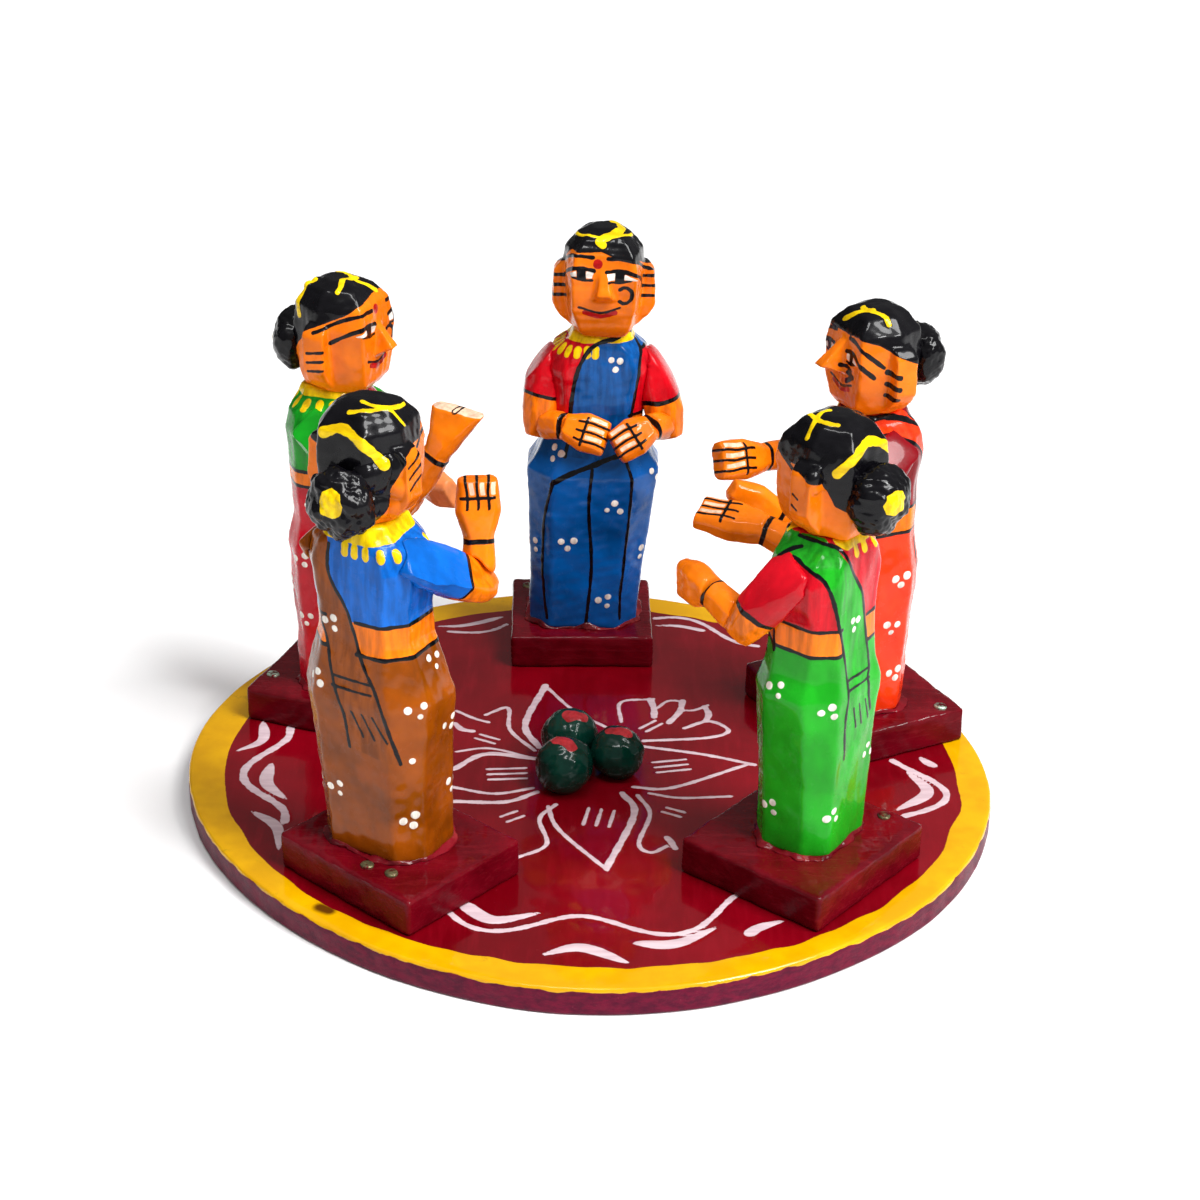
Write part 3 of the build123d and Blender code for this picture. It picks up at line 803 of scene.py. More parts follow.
# ---- plinths, glue and nails --------------------------------------------------------------------
def plinth_material(name, shift):
    n = Nodes(name)
    strokes = n.noise(1.3, 5, 0.65, stretch=(9, 2, 1), shift=shift)
    broad = n.noise(12, 4, shift=shift)
    flecks = n.noise(1.6, 5, 0.75, shift=shift + 0.5)
    colour = n.mix(n.range(broad, 0.3, 0.7), linear((80, 0, 10)), linear((106, 4, 20)))
    colour = n.mix(n.range(strokes, 0.5, 0.78, 0, 0.55), colour, linear((124, 22, 32)))
    colour = n.mix(n.range(flecks, 0.68, 0.78, 0, 0.4), colour, linear((150, 64, 66)))
    dirt = n.range(n.noise(2.4, 4, 0.7, shift=shift + 0.9), 0.68, 0.76, 0, 0.6)
    colour = n.mix(dirt, colour, linear((40, 0, 6)))
    roughness = n.range(strokes, 0.3, 0.75, 0.16, 0.36)
    height = n.math("ADD", n.math("MULTIPLY", strokes, 1.6), n.math("MULTIPLY", flecks, 1.0))
    material = n.finish(colour, roughness, height, relief=0.07, coat_roughness=0.08, specular=0.05)
    n.put(n.shader.inputs["Coat Weight"], n.range(n.attribute("top"), -0.3, 0.2, 0.05, 0.4))
    return material


PLINTH_TURNS = {"blue": (-2.3, 71.6, 1.0), "brown": (-45.3, -52.1, -42.0), "green": (52.8, -47.5, -40.0),
                "crimson": (-67.4, 32.9, -20.0), "orange": (71.9, 26.9, 26.6)}
NAILS = {"blue": [(-15.5, 14.0), (15.5, 14.0)], "brown": [(10.1, -12.4), (3.4, -13.9)],
         "green": [(10.9, 19.0), (-14.0, 19.0)], "crimson": [(-16.3, -9.6), (13.0, 15.5)],
         "orange": [(15.0, -20.0), (-15.0, 20.0)]}


def nail_heads():
    """Domed nail heads, hammered a little flat and askew, with their shanks."""
    points, faces, pale = [], [], []
    rng = np.random.default_rng(8)
    for colour, places in NAILS.items():
        x, y, turn = PLINTH_TURNS[colour]
        t = math.radians(turn)
        for u, v in places:
            cx, cy = x + u * math.cos(t) - v * math.sin(t), y + u * math.sin(t) + v * math.cos(t)
            tilt = rng.uniform(-0.06, 0.06, 2)
            start = len(points)
            rings = [(0.9, -10.0), (0.9, -0.9), (1.62, -0.6), (1.7, -0.1), (1.5, 0.22), (0.95, 0.36),
                     (0.4, 0.38)]
            count = 20
            for radius, z in rings:
                for k in range(count):
                    a = 2 * math.pi * k / count
                    r = radius * (1 + 0.05 * math.sin(2 * a + u) + 0.03 * math.sin(5 * a + v))
                    px, py = r * math.cos(a), r * math.sin(a)
                    askew = (px * tilt[0] + py * tilt[1]) * (z > -0.8)
                    points.append((cx + px, cy + py, PLINTH_TOP + z + askew))
            pale += [1.0 if colour in ("crimson", "orange") else 0.0] * (count * len(rings))
            for ring in range(len(rings) - 1):
                for k in range(count):
                    a, b = start + ring * count + k, start + ring * count + (k + 1) % count
                    faces.append((a, b, b + count, a + count))
            faces.append(tuple(start + k for k in reversed(range(count))))
            faces.append(tuple(start + (len(rings) - 1) * count + k for k in range(count)))
    nails = make_object("plinth_nail_heads", points, faces)
    store(nails, "pale", np.array(pale))
    n = Nodes("old_nail")
    rust = n.noise(0.8, 5, 0.7)
    colour = n.mix(n.range(rust, 0.35, 0.7), linear((120, 116, 84)), linear((70, 62, 44)))
    colour = n.mix(n.range(n.attribute("pale"), 0.2, 0.8), colour, linear((166, 192, 172)))
    colour = n.mix(n.range(n.noise(1.5, 3, shift=0.3), 0.5, 0.62), colour, linear((92, 20, 22)))
    material = n.finish(colour, n.range(rust, 0.3, 0.7, 0.25, 0.5), rust, relief=0.12, coat=0.15)
    n.shader.inputs["Metallic"].default_value = 0.55
    return dress(nails, material, "nail", "plinth_nails")


def glue_bead(colour, body, seed):
    """The thick uneven bead of paint and glue round the foot of a skirt."""
    figure = FIGURES[colour]
    count = 150
    angle = np.linspace(0, 2 * math.pi, count, endpoint=False)
    tree = BVHTree.FromPolygons(get_points(body).tolist(), [list(f.vertices) for f in body.data.polygons])
    centre = from_body(figure, (0, 0, 0))
    unit = np.column_stack([np.cos(angle), np.sin(angle), np.zeros(count)])
    foot = []
    for way in unit:
        hit = tree.ray_cast(Vector(centre + way * 60 + (0, 0, 1.0)), Vector(-way))[0]
        foot.append(math.hypot(hit.x - centre[0], hit.y - centre[1]) if hit else 12.0)
    foot = np.array(foot)
    width = 1.15 + 0.75 * waves(unit * 14, 9, seed) + 0.3 * waves(unit * 14, 3, seed + 1)
    width = np.clip(width, 0.35, 3.0)
    tall = np.clip(0.8 + 0.55 * waves(unit * 14, 7, seed + 2), 0.25, 2.1)
    section = [(-0.7, 0.0, 1.0), (0.1, 0.05, 0.96), (0.1, 0.35, 0.6), (0.05, 0.7, 0.3), (0.0, 1.0, 0.02),
               (-0.7, 0.6, -0.2)]
    points = []
    for base, out, up in section:
        r = foot + base + out * width
        z = np.where(up > 0, PLINTH_TOP + up * tall, PLINTH_TOP - 0.25)
        points.append(np.column_stack([centre[0] + unit[:, 0] * r, centre[1] + unit[:, 1] * r, z]))
    points = np.vstack(points)
    faces = []
    for k in range(len(section)):
        for j in range(count):
            i, m = (j + 1) % count, (k + 1) % len(section)
            faces.append((k * count + j, m * count + j, m * count + i, k * count + i))
    bead = make_object(f"{colour}_glue_bead", points, faces)
    points += get_normals(bead) * (0.1 * waves(points, 1.6, seed + 3))[:, None]
    set_points(bead, points)
    material = paint_material(f"{colour}_glue", (104, 8, 20), wear=((150, 50, 48), 0.8), gloss=0.14,
                              streak=(1, 1, 1), shift=seed * 0.1, tone=0.4)
    return dress(bead, material, "plinth")


nail_heads()
for number, colour in enumerate(FIGURES):
    plinth = carve(f"{colour}_plinth_painted", f"{colour}_plinth", 0.6, 3, 0.1, 8.0, seed=50 + number)
    points = get_points(plinth)
    on_top = points[:, 2] > PLINTH_TOP - 1
    points[:, 2] += on_top * 0.06 * waves(points * (1.0, 0.25, 1.0), 2.2, 60 + number)
    set_points(plinth, points)
    store(plinth, "top", points[:, 2] - PLINTH_TOP + 0.6)
    dress(plinth, plinth_material(f"{colour}_plinth_enamel", number * 0.23), "plinth", f"{colour}_plinth")

for node, tint, slot_name in (("figure_nails", (96, 90, 74), "nail"), ("neck_pegs", (186, 146, 92), "peg")):
    n = Nodes(f"{node}_finish")
    grain = n.noise(0.9, 4, 0.6, stretch=(1, 1, 8))
    tone = n.mix(n.range(grain, 0.3, 0.7), linear([c * 0.75 for c in tint]), linear(tint))
    hidden = n.finish(tone, n.range(grain, 0.3, 0.7, 0.35, 0.55), grain, coat=0.0)
    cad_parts[node].data.materials.clear()
    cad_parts[node].data.materials.append(hidden)

# ---- heads --------------------------------------------------------------------------------------
# The right half of a face before it is turned, stretched and tilted for a figure: (angle, height)
BROW = [(82, 18.5), (37, 22.5), (10, 22.5)]
LID = [(66, 15.5), (31, 19.5), (8, 19)]
LOWER_LID = [(33, 17.5), (22, 16.5), (10, 16.5)]
PUPIL = [(28, 19.5), (18, 19.5), (17, 16.5), (27, 17)]
EYE_WHITES = ([(41, 17.5), (28, 19), (27, 17.5)], [(18, 19), (8, 18.5), (10, 17), (17, 17)])
SIDE_HAIR = [(104, 17), (117, 11), (128, 8), (152, 7)]


def half_face(side, turn=0.0, stretch=1.0, rise=0.0, slope=0.0, bold=1.0):
    """Brow and eye on one side (1 right, -1 left) of a face: the black features and the white ones."""
    def moved(points):
        return [(side * a * stretch + turn, z + rise - slope * a) for a, z in points]

    black = [("line", 0.52 * bold, moved(BROW)), ("line", 0.56 * bold, moved(LID))]
    black += [("line", 0.36, moved(LOWER_LID)), ("area", moved(PUPIL))]
    return black, [("area", moved(points)) for points in EYE_WHITES]


def face(right, left, mouth=(0.0, 0.0), spot=0.0):
    """A face's colours from the settings of its halves, its mouth's (turn, rise) and its forehead spot."""
    right_black, right_white = half_face(1, **right)
    left_black, left_white = half_face(-1, **left)
    turn, rise = mouth
    smile = [(turn + 26, 9.4 + rise), (turn, 7.9 + rise), (turn - 26, 9.4 + rise)]
    lips = [(turn + 20, 8 + rise), (turn, 6.8 + rise), (turn - 20, 8 + rise)]
    black = right_black + left_black + [("line", 0.36, smile)]
    red = [("line", 0.66, lips)] + ([] if spot is None else [("dot", 1.15, [(spot, 21.1)])])
    return dict(black=black, white=right_white + left_white, red=red)


def arc(angle, z, wide, high, start=0, end=360, steps=8):
    """Points of an oval about (angle, z), from one turn to another in degrees."""
    turns = np.radians(np.linspace(start, end, steps + 1))
    return [(angle + wide * math.cos(t), z + high * math.sin(t)) for t in turns]


def ear_marks(side, low=9.9, step=2.8, start=72, end=89, half=0.5, slope=0.03, count=3):
    """Strokes across an ear, one above the other."""
    drop = slope * (end - start)
    levels = [low + k * step for k in range(count)]
    return [("line", half, [(side * start, z), (side * end, z - drop)]) for z in levels]


def back_band(half, start=126, end=234):
    """The yellow band over the hair behind, highest in the middle."""
    return [("line", half, [(a, 23.3 - 6.5 * ((a - 180) / 54) ** 2) for a in np.linspace(start, end, 6)])]


def hairline(front, right=SIDE_HAIR, left=SIDE_HAIR, back=7):
    """The hair's edge right round a head: its front points, then both sides and the back."""
    return front + right + [(180, back)] + [(-a, z) for a, z in left]


NOSE_RING = [("line", 0.55, arc(-26, 12.6, 8, 2.3, 45, 315))]
PLAIN_FRONT = [(0, 24), (38, 23), (55, 21), (90, 18)]
HEADS = {
    "blue": dict(
        face=face(dict(turn=6, rise=0.3), dict(turn=6, stretch=1.15, rise=0.3, slope=0.03), (5, -0.2), 9),
        hairline=hairline([(90, 18.5), (57, 23.5), (5, 24), (-19, 22.5), (-58, 20.5), (-81, 18.5)]),
        black=NOSE_RING + ear_marks(1) + ear_marks(-1),
        yellow=[("line", 1.15, [(-128, 29, 3), (1, 27, 7), (3, 25.5, 8.5)]),
                ("line", 0.42, [(80, 26.5, 7.5), (0, 27, 7), (-80, 26.5, 7.5)])] + back_band(1.3),
    ),
    "crimson": dict(
        face=face(dict(stretch=1.12, rise=-1.2), dict(turn=-20, stretch=0.85, rise=-1), (3, -0.4), 0),
        hairline=hairline([(90, 18.5), (53, 21.5), (38, 23.5), (-17, 24.5), (-33, 24.5), (-53, 21),
                           (-90, 18)],
                          right=[(102, 17.5), (126, 14), (138, 12), (150, 8)]),
        black=NOSE_RING + ear_marks(1, 7.9, 2.4, 80, 98, 0.4, 0.04) + ear_marks(-1),
        yellow=[("line", 0.9, [(152, 27), (139, 22), (134, 19.5)]),
                ("line", 0.62, [(-112, 28, 3), (-16, 28, 4), (-23, 24.5, 9.5)]),
                ("line", 0.7, [(-30, 28, 5), (31, 28, 3), (61, 26, 7)])] + back_band(1.1, 152, 228),
    ),
    "orange": dict(
        face=face(dict(turn=16, stretch=0.7, rise=-2.2, slope=0.03),
                  dict(turn=-6, stretch=0.75, rise=-2.3, slope=0.03, bold=1.1), (0, -1.2), None),
        hairline=hairline([(80, 17.5), (45, 20.5), (-11, 20.5), (-34, 21), (-60, 19.5), (-83, 17)],
                          right=[(100, 15.5), (112, 12), (126, 8), (150, 7)],
                          left=[(103, 15), (115, 11), (126, 8), (150, 7)]),
        black=[("line", 0.62, [(-9, 13), (-23, 12), (-17, 11), (-28, 10.5), (-12, 8.5)])]
        + ear_marks(-1, 6.4, 3.1, 72, 84, 0.7, 0.06) + ear_marks(1),
        yellow=[("line", 0.7, [(19, 23, 9), (-6, 26, 6), (-35, 26.5, 5)]),
                ("line", 0.65, [(7, 26.5, 5), (-61, 25.5, 6), (-74, 24, 8)])] + back_band(1.3, 126, 205),
    ),
    "brown": dict(
        face=face({}, {}),
        hairline=hairline([(0, 24), (38, 21), (51, 17.5), (87, 18), (-38, 21), (-90, 18)],
                          right=[(102, 17), (109, 9.5), (125, 4), (140, 0.5)], back=0),
        black=NOSE_RING + ear_marks(1, 12, 2.6, 78, 100, 0.36, 0.12) + ear_marks(-1),
        yellow=[("line", 0.52, [(149, 28, 3), (107, 27, 5), (46, 25.5, 9)]),
                ("line", 0.55, [(175, 26.5, 6), (97, 26.5, 6), (79, 23, 10)])] + back_band(1.15, 124, 207),
    ),
    "green": dict(
        face=face({}, {}),
        hairline=hairline(PLAIN_FRONT + [(-20, 22), (-42, 18), (-57, 17), (-88, 17)],
                          left=[(108, 15), (117, 12.5), (128, 9), (150, 7.5)]),
        black=ear_marks(1) + ear_marks(-1, 9, 2.6, 84, 90, 0.3, 0.15, 2),
        yellow=[("line", 0.58, [(-16, 27, 8), (-58, 27, 6), (-122, 26.5, 5)]),
                ("line", 0.68, [(-20, 28, 3), (-61, 27, 6), (-76, 23.5, 9)])] + back_band(1.1, 232, 138),
    ),
}
# The worn spot on each bun
BUN_PATCH = [("area", arc(175, 9.2, 14, 3.6))]
BUN_PATCHES = {"green": [("area", arc(-175, 12, 11, 3.1))], "brown": [("area", arc(171, 9.2, 10, 3.6))]}
# Blobs of black paint in the hair: (angle, height, reach from the axis, size)
HAIR_LUMPS = {
    "brown": [(112 + 5 * k, 10 + 5 * math.sin(2.2 * k), 10, 2.4) for k in range(7)],
    "crimson": [(150, 26.5, 7.5, 1.0), (165, 27.5, 5.5, 0.9)],
    "green": [(-104, 16, 12, 1.5), (-112, 14, 12, 1.6)],
}


def add_lumps(obj, skin, lumps):
    """Raises thick blobs of paint, round at the top, on the piece."""
    rise = np.zeros(len(skin.z))
    for angle, z, reach, size in lumps:
        a = math.radians(angle)
        near = np.linalg.norm(skin.local - (reach * math.sin(a), reach * math.cos(a), z), axis=1)
        rise = np.maximum(rise, 0.75 * size * np.clip(1 - (near / (1.5 * size)) ** 2, 0, 1) ** 0.8)
    set_points(obj, get_points(obj) + get_normals(obj) * rise[:, None])


def paint(obj, skin, layers):
    """Stores each colour's field on the piece and returns the layers for its material."""
    for name, _, features in layers:
        if features:
            store(obj, name, skin.field(features))
    return [(name, tint) for name, tint, features in layers if features]


# How each bun sits against the CAD one: shift in mm (right, forward, up), scale, and how lumpy it is
BUNS = {
    "blue": ((0, 0, 0), 1.0, 0.3),
    "brown": ((1.6, 0.2, -2.4), 1.0, 0.42),
    "green": ((0, 0, 0), 1.0, 0.34),
    "crimson": ((0, 0.3, 0.3), 0.95, 0.24),
    "orange": ((0, 1.6, 0), 0.98, 0.26),
}
HEAD_TONES = {"blue": 0.0, "brown": 0.3, "green": 0.6, "crimson": 0.9, "orange": 1.2}
for number, (colour, looks) in enumerate(HEADS.items()):
    figure = FIGURES[colour]
    head = carve(f"{colour}_head_painted", f"{colour}_head", 0.36, 9, 0.12, 7.5, seed=70 + number)
    skin = Skin(head, head_frame(figure, get_points(head)))
    layers = paint(head, skin, [
        ("red", RED, looks["face"]["red"]),
        ("black", BLACK, [("above", looks["hairline"])] + looks["face"]["black"] + looks["black"]),
        ("white", WHITE, looks["face"]["white"]),
        ("yellow", YELLOW, looks["yellow"]),
    ])
    raise_paint(head, skin.field([("above", looks["hairline"])]), 0.1)
    raise_paint(head, skin.field(looks["yellow"]), 0.12)
    add_lumps(head, skin, HAIR_LUMPS.get(colour, []))
    material = paint_material(f"{colour}_head_enamel", SKIN, layers, wear=((228, 96, 0), 0.3), gloss=0.2,
                              streak=(4, 4, 1), shift=HEAD_TONES[colour], tone=0.12)
    dress(head, material, "skin", f"{colour}_head")
    shift, scale, lumps = BUNS[colour]
    bun = carve(f"{colour}_bun_painted", f"{colour}_bun", 0.42, 3, lumps, 5.0, seed=80 + number)
    points = get_points(bun)
    middle = points.mean(0)
    shift = from_body(figure, shift) - from_body(figure, (0, 0, 0))
    set_points(bun, middle + (points - middle) * scale + shift)
    bun_skin = Skin(bun, head_frame(figure, get_points(bun)))
    layers = paint(bun, bun_skin, [("yellow", YELLOW, BUN_PATCHES.get(colour, BUN_PATCH))])
    material = paint_material(f"{colour}_bun_enamel", BLACK, layers, gloss=0.18, streak=(1, 1, 2),
                              shift=HEAD_TONES[colour] + 0.1, tone=0.3)
    dress(bun, material, "hair", f"{colour}_bun")

# ---- bodies -------------------------------------------------------------------------------------
# Edges of the saree's drape, (angle, height): in front, behind on the right and behind on the left
FRONT_RIGHT = [(-33, 85), (10, 83), (28, 78), (36, 68), (35, 52)]
FRONT_LEFT = [(-80, 83), (-66, 81.5), (-53, 76), (-49, 66), (-46, 57)]
BACK_RIGHT = [(226, 84), (201, 77.5), (171, 68), (155, 50.5), (161, 45.5), (153, 36.5)]
BACK_LEFT = [(270, 80.5), (240, 77), (222, 65), (205, 49), (208, 38), (204, 27)]
SKIRT_FRONT = [
    ("line", 0.75, [(-46, 53.5), (-9, 50.5), (25, 47.5), (40, 44.5)]),
    ("line", 0.55, [(38, 45.5), (50, 30), (48, 12), (42, 3)]),
    ("line", 0.5, [(1, 48.5), (2, 37), (-6, 19), (-4, 1)]),
    ("line", 0.5, [(-37, 51.5), (-40, 38), (-40, 15), (-42, 3)]),
]


def smooth(points):
    """The points of the curve that a border through these points follows."""
    return [tuple(point) for point in curve_through(points)]


def level(z, sag, start, end):
    """Points round the body from one angle to another, lower by sag behind."""
    return [(a, z - sag * (1 - math.cos(math.radians(a))) / 2) for a in np.linspace(start, end, 7)]


def waist(low, high, sag, reach=158):
    """The bare waist: skin, the blouse above it, and black edges on both sides of the drape."""
    skin = [("area", level(low, sag, 38, 322) + level(high, sag, 322, 38))]
    edges = [("line", 0.5, level(z, sag, *span)) for z in (low, high) for span in ((38, reach), (216, 316))]
    return dict(skin=skin, blouse=[("above", level(high, sag, -180, 150))], edges=edges)


def collar(front, back):
    """Everything above a collar that drops from front to back."""
    middle, swing = (front + back) / 2, (front - back) / 2
    return [("above", [(a, middle + swing * math.cos(math.radians(a))) for a in range(0, 360, 40)])]


def ring_petals(start, end, z, step=17.0):
    """Yellow drops under a collar from one angle to another."""
    return [("dot", 0.95, [(a, z - 0.9), (a, z + 0.7)]) for a in np.arange(start, end, step)]


def fringe(start, end, z, ticks, slant):
    """The drape's end: two lines across it and loose threads below."""
    lines = [("line", 0.36, [(start, z - k * 2.5), (end, z - k * 2.5)]) for k in range(2)]
    return lines + [("line", 0.36, [(a, z - 8), (a - slant, z - 14)]) for a in ticks]


def trios(*places):
    """White dots in threes, at each (angle, height, turn, size)."""
    return [dot for place in places for dot in trio(*place)]


FRONT_END = [(0, 51), (-30, 52)]
BACK_TOP = [(292, 81), (292, 85.5), (243, 85.5)]
FRONT_PALLU = [("area", smooth(FRONT_RIGHT) + FRONT_END + smooth(FRONT_LEFT)[::-1] + [(-64, 85.5)])]
BACK_PALLU = [("area", smooth(BACK_RIGHT) + smooth(BACK_LEFT)[::-1] + BACK_TOP)]
FRONT_BORDERS = [("line", 0.6, FRONT_RIGHT), ("line", 0.6, FRONT_LEFT)]
BACK_BORDERS = [("line", 0.5, [(292, 85)] + BACK_RIGHT), ("line", 0.5, [(292, 81)] + BACK_LEFT)]
BACK_FRINGE = fringe(204, 158, 48.5, (193, 180, 165), 8)
PLAIN_BLACK = FRONT_BORDERS + SKIRT_FRONT + BACK_BORDERS + BACK_FRINGE
BROWN_RIGHT = [(211, 80), (208, 72.5), (185, 64.5), (167, 54), (149, 46), (139, 36), (131, 28)]
BROWN_LEFT = [(250, 80), (222, 60), (204, 47.5), (191, 40), (185, 30)]
ORANGE_LEFT = [(-46, 81), (-85, 81), (-119, 76), (-127, 66), (-130, 40), (-132, 30)]

BODIES = {
    "blue": dict(
        waist(56.6, 63.3, 1.2),
        saree=FRONT_PALLU + BACK_PALLU,
        yellow=collar(83.6, 82.2) + ring_petals(8, 200, 81.1, 13),
        black=PLAIN_BLACK,
        white=trios((46, 52.4, 45), (-26, 37.5, 100), (23, 26.8, 25), (-25, 8.7, 10), (-24, 78, 32, 0.95),
                    (64, 24), (-70, 46, 30), (-66, 22, 60), (100, 42), (120, 18), (-110, 30), (-140, 12, 40),
                    (150, 34, 20)),
    ),
    "brown": dict(
        waist(54.5, 62.4, 0.4, 172),
        saree=FRONT_PALLU
        + [("area", smooth(BROWN_RIGHT) + smooth(BROWN_LEFT)[::-1] + [(255, 85.5), (228, 85.5)])],
        yellow=collar(83.4, 81.3) + ring_petals(66, 200, 79.8),
        black=FRONT_BORDERS + SKIRT_FRONT + [("line", 0.5, BROWN_RIGHT), ("line", 0.45, BROWN_LEFT)]
        + fringe(203, 154, 47.7, (179, 166, 154), 13),
        white=trios((-150, 60.2, 5, 0.95), (116, 42, 10), (-140, 45.7, 105), (-153, 17.2, 0),
                    (124, 12, 5, 1.15),
                    (84, 51, 30, 0.9), (78, 34), (70, 16, 40), (30, 30), (-20, 14), (-22, 38), (-70, 26, 50),
                    (-100, 44), (-110, 14), (-12, 76, 20, 0.9)) + [("dot", 0.75, [(121, 28.5)])],
    ),
    "green": dict(
        waist(58, 65, 2),
        saree=FRONT_PALLU + BACK_PALLU,
        yellow=[("above", [(-110, 99), (-85, 99), (-40, 84), (60, 83.5), (150, 83), (-150, 83), (-130, 85)])]
        + ring_petals(76, 190, 81.7, 22),
        black=PLAIN_BLACK + [("line", 0.7, [(-62, 68), (-65, 62), (-68, 56)])],
        white=trios((-170, 63, 45, 0.9), (-80, 46.7, 0), (-131, 42.5, -5), (-75, 12, 0, 1.1),
                    (148, 24, 90, 0.95),
                    (-144, 11.4, -10, 1.1), (120, 44), (100, 14, 40), (60, 32), (20, 16), (20, 40),
                    (-30, 26, 50), (-12, 76, 20, 0.9)),
    ),
    "crimson": dict(
        waist(60.2, 64.3, 0),
        saree=FRONT_PALLU + BACK_PALLU,
        yellow=collar(84, 83.4) + ring_petals(44, 230, 81.9, 20),
        black=PLAIN_BLACK,
        white=trios((104, 40), (106, 22, 30), (76, 30), (70, 52, 10), (62, 14), (20, 30), (-20, 14),
                    (140, 30),
                    (-70, 26), (-110, 44), (-120, 14), (-10, 76, 20, 0.9)) + [("dot", 0.85, [(100, 55)])],
    ),
    "orange": dict(
        waist(54, 61, 0.5),
        saree=FRONT_PALLU
        + [("area", smooth(BACK_RIGHT) + [(150, 30)] + [(a + 360, z) for a, z in smooth(ORANGE_LEFT)[::-1]]
            + [(330, 86), (243, 86)])],
        yellow=ring_petals(60, 200, 80.6, 20) + [("area", [(30, 86), (30, 83.5), (190, 83), (190, 86)])],
        black=[("line", 0.6, FRONT_RIGHT)] + SKIRT_FRONT + BACK_FRINGE + [
            ("line", 0.9, [(-15, 84), (-72, 85), (-116, 83.5), (-146, 80)]), ("line", 0.5, ORANGE_LEFT),
            ("line", 0.5, BACK_RIGHT + [(150, 30)])],
        white=trios((-97, 41.2, 20, 1.15), (-92, 27, 30, 1.1), (-104, 12, 10, 1.1), (-60, 34), (-54, 14, 40),
                    (-20, 30), (20, 14), (70, 40), (80, 16), (130, 26), (-150, 44, 20, 0.9), (-160, 14),
                    (-8, 76, 20, 0.9)),
    ),
}
# The tint and share of each saree's worn patches, and how uneven its colour is
WEAR = {
    "blue": ((0, 92, 176), 0.3),
    "brown": ((152, 68, 0), 0.6),
    "green": ((40, 172, 34), 0.3),
    "crimson": ((200, 24, 40), 0.3),
    "orange": ((250, 74, 20), 0.3),
}
TONES = {"blue": 0.18, "brown": 0.2, "green": 0.1, "crimson": 0.14, "orange": 0.08}
for number, (colour, looks) in enumerate(BODIES.items()):
    figure = FIGURES[colour]
    body = carve(f"{colour}_body_painted", f"{colour}_body", 0.46, 10, 0.14, 11.0, seed=90 + number)
    skin = Skin(body, body_frame(figure, get_points(body)))
    saree, blouse = COLOURS[colour]["saree"], COLOURS[colour]["blouse"]
    black = looks["edges"] + looks["black"]
    layers = paint(body, skin, [
        ("blouse", blouse, looks["blouse"]), ("skin", SKIN, looks["skin"]), ("saree", saree, looks["saree"]),
        ("yellow", YELLOW, looks["yellow"]), ("black", BLACK, black), ("white", WHITE, looks["white"]),
    ])
    raise_paint(body, skin.field(black), 0.07)
    raise_paint(body, skin.field(looks["white"]), 0.14)
    raise_paint(body, skin.field(looks["yellow"]), 0.12)
    material = paint_material(f"{colour}_body_enamel", saree, layers, wear=WEAR[colour], gloss=0.17,
                              streak=(1, 1, 7), shift=number * 0.41, tone=TONES[colour])
    dress(body, material, f"{colour}_saree", f"{colour}_body")
    glue_bead(colour, body, 20 + number)

# ---- arms ---------------------------------------------------------------------------------------
# Where each sleeve ends along the upper arm
HEM_SHARE = {
    ("blue", "right"): 0.6, ("blue", "left"): 0.63, ("brown", "right"): 0.66, ("brown", "left"): 0.66,
    ("green", "right"): 0.74, ("green", "left"): 0.76, ("crimson", "right"): 0.62,
    ("crimson", "left"): 0.62, ("orange", "right"): 0.72, ("orange", "left"): 0.62,
}
BARE_HANDS = {("crimson", "right"), ("crimson", "left"), ("orange", "left"), ("green", "left")}
# Where the painted knuckle line lies along each hand
KNUCKLES = {
    ("blue", "right"): 0.5, ("blue", "left"): 0.5, ("brown", "right"): 0.7, ("brown", "left"): 0.6,
    ("green", "right"): 0.6, ("orange", "right"): 0.55,
}


def unit_vector(v):
    return v / np.linalg.norm(v)


def shape_shoulder(figure, points, narrow):
    """Slopes the top of a sleeve down from the neck; a narrow one is drawn in beside the body."""
    x, y, z = body_frame(figure, points).T
    over = z - (84.3 - 0.05 * (np.abs(x) - 4) ** 2 - 0.012 * y**2)
    points[:, 2] -= 0.5 * (over + np.sqrt(over**2 + 0.6)) * figure["height"]
    if narrow:
        sideways = from_body(figure, (1, 0, 0)) - from_body(figure, (0, 0, 0))
        out = np.clip(np.abs(x) - 15.6, 0, None) * np.clip((11 - y) / 5, 0, 1) * 0.85
        points -= sideways * (np.sign(x) * out)[:, None]
    return points


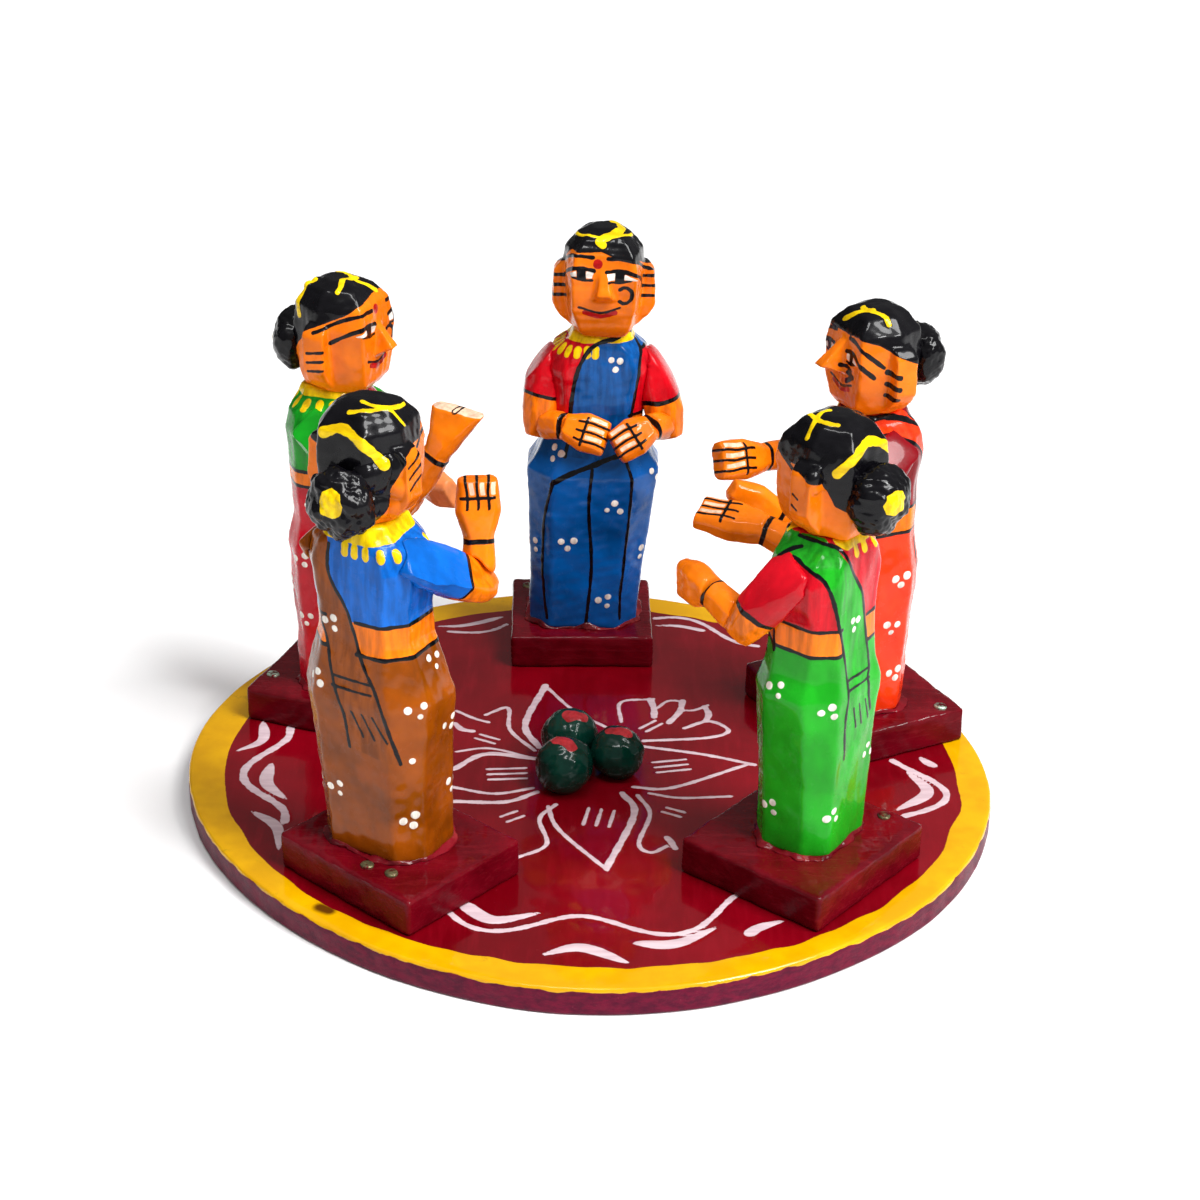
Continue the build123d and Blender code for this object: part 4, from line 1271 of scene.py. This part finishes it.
for number, ((colour, side), (joints, palm)) in enumerate(ARMS.items()):
    figure = FIGURES[colour]
    shoulder, elbow, wrist, tip = [from_body(figure, p) for p in joints]
    across = from_body(figure, palm) - from_body(figure, (0, 0, 0))
    node = f"{colour}_{side}_upper_arm"
    upper = carve(f"{node}_painted", node, 0.42, 9, 0.1, 8.0, 0.2, 110 + number)
    pallu_sleeve = (colour, side) == ("brown", "left")
    points = shape_shoulder(figure, get_points(upper), pallu_sleeve)
    set_points(upper, points)
    along = unit_vector(elbow - shoulder)
    length = np.linalg.norm(elbow - shoulder)
    reach = (points - shoulder) @ along - HEM_SHARE[colour, side] * length + 0.5 * waves(points, 11, number)
    store(upper, "skin", reach)
    store(upper, "black", 0.62 - np.abs(reach))
    raise_paint(upper, -reach, 0.12)
    layers = [("skin", SKIN), ("black", BLACK)]
    if pallu_sleeve:
        _, y, z = body_frame(figure, points).T
        store(upper, "pallu", np.minimum(z - 69, 9 - y))
        layers.append(("pallu", COLOURS[colour]["saree"]))
    blouse = COLOURS[colour]["blouse"]
    material = paint_material(f"{colour}_{side}_sleeve_enamel", blouse, layers,
                              wear=([c * 0.8 for c in blouse], 0.4), gloss=0.17, streak=(1, 1, 4),
                              shift=number * 0.19, tone=0.16)
    dress(upper, material, f"{colour}_blouse", node)

    node = f"{colour}_{side}_forearm"
    fore = carve(f"{node}_painted", node, 0.36, 6, 0.1, 7.0, 0.15, 130 + number)
    points = get_points(fore)
    along = unit_vector(tip - wrist)
    length = np.linalg.norm(tip - wrist)
    across = unit_vector(across - along * (across @ along))
    s, c = (points - wrist) @ along, (points - wrist) @ across
    lower = unit_vector(wrist - elbow)
    ring_at = (points - wrist) @ unit_vector(lower + along) + 0.6
    bangle = (0.45 if colour == "blue" else 0.58) - np.abs(ring_at + 0.25 * waves(points, 8, number))
    black, white = bangle, np.full(len(points), -9.0)
    if (colour, side) not in BARE_HANDS:
        knuckle = KNUCKLES[colour, side] * length
        for k, offset in enumerate((-2.5, 0.0, 2.5)):
            bent = c - offset * (1 + 0.14 * (s - knuckle) / length) - 0.15 * np.sin(s * 0.8 + k)
            inside = np.minimum(s - knuckle + 0.2 * length, length + 3 - s)
            black = np.maximum(black, np.minimum(0.36 - np.abs(bent), inside))
            beside = np.minimum(0.55 - np.abs(bent - 1.2), np.minimum(s - knuckle - 0.7, length - 0.6 - s))
            white = np.maximum(white, beside)
        black = np.maximum(black, np.minimum(0.38 - np.abs(s - knuckle), 4.2 - np.abs(c)))
    layers = [("white", (236, 200, 170)), ("black", BLACK)]
    if (colour, side) == ("crimson", "right"):
        # The raised hand ends in bare sawn wood with a pencilled ring
        store(fore, "cut", 2.5 * (get_normals(fore) @ along - 0.68))
        layers.insert(0, ("cut", (232, 190, 160)))
        black = np.maximum(black, np.minimum(0.22 - np.abs(np.hypot(s - length, c) - 0.7), s - length + 1.0))
    store(fore, "white", white)
    store(fore, "black", black)
    raise_paint(fore, black, 0.06)
    hand_colour = PALE_SKIN if (colour, side) == ("crimson", "left") else SKIN
    material = paint_material(f"{colour}_{side}_hand_enamel", hand_colour, layers,
                              wear=((250, 140, 60), 0.35), gloss=0.2, streak=(1, 1, 3),
                              shift=number * 0.27, tone=0.14)
    dress(fore, material, "skin", node)
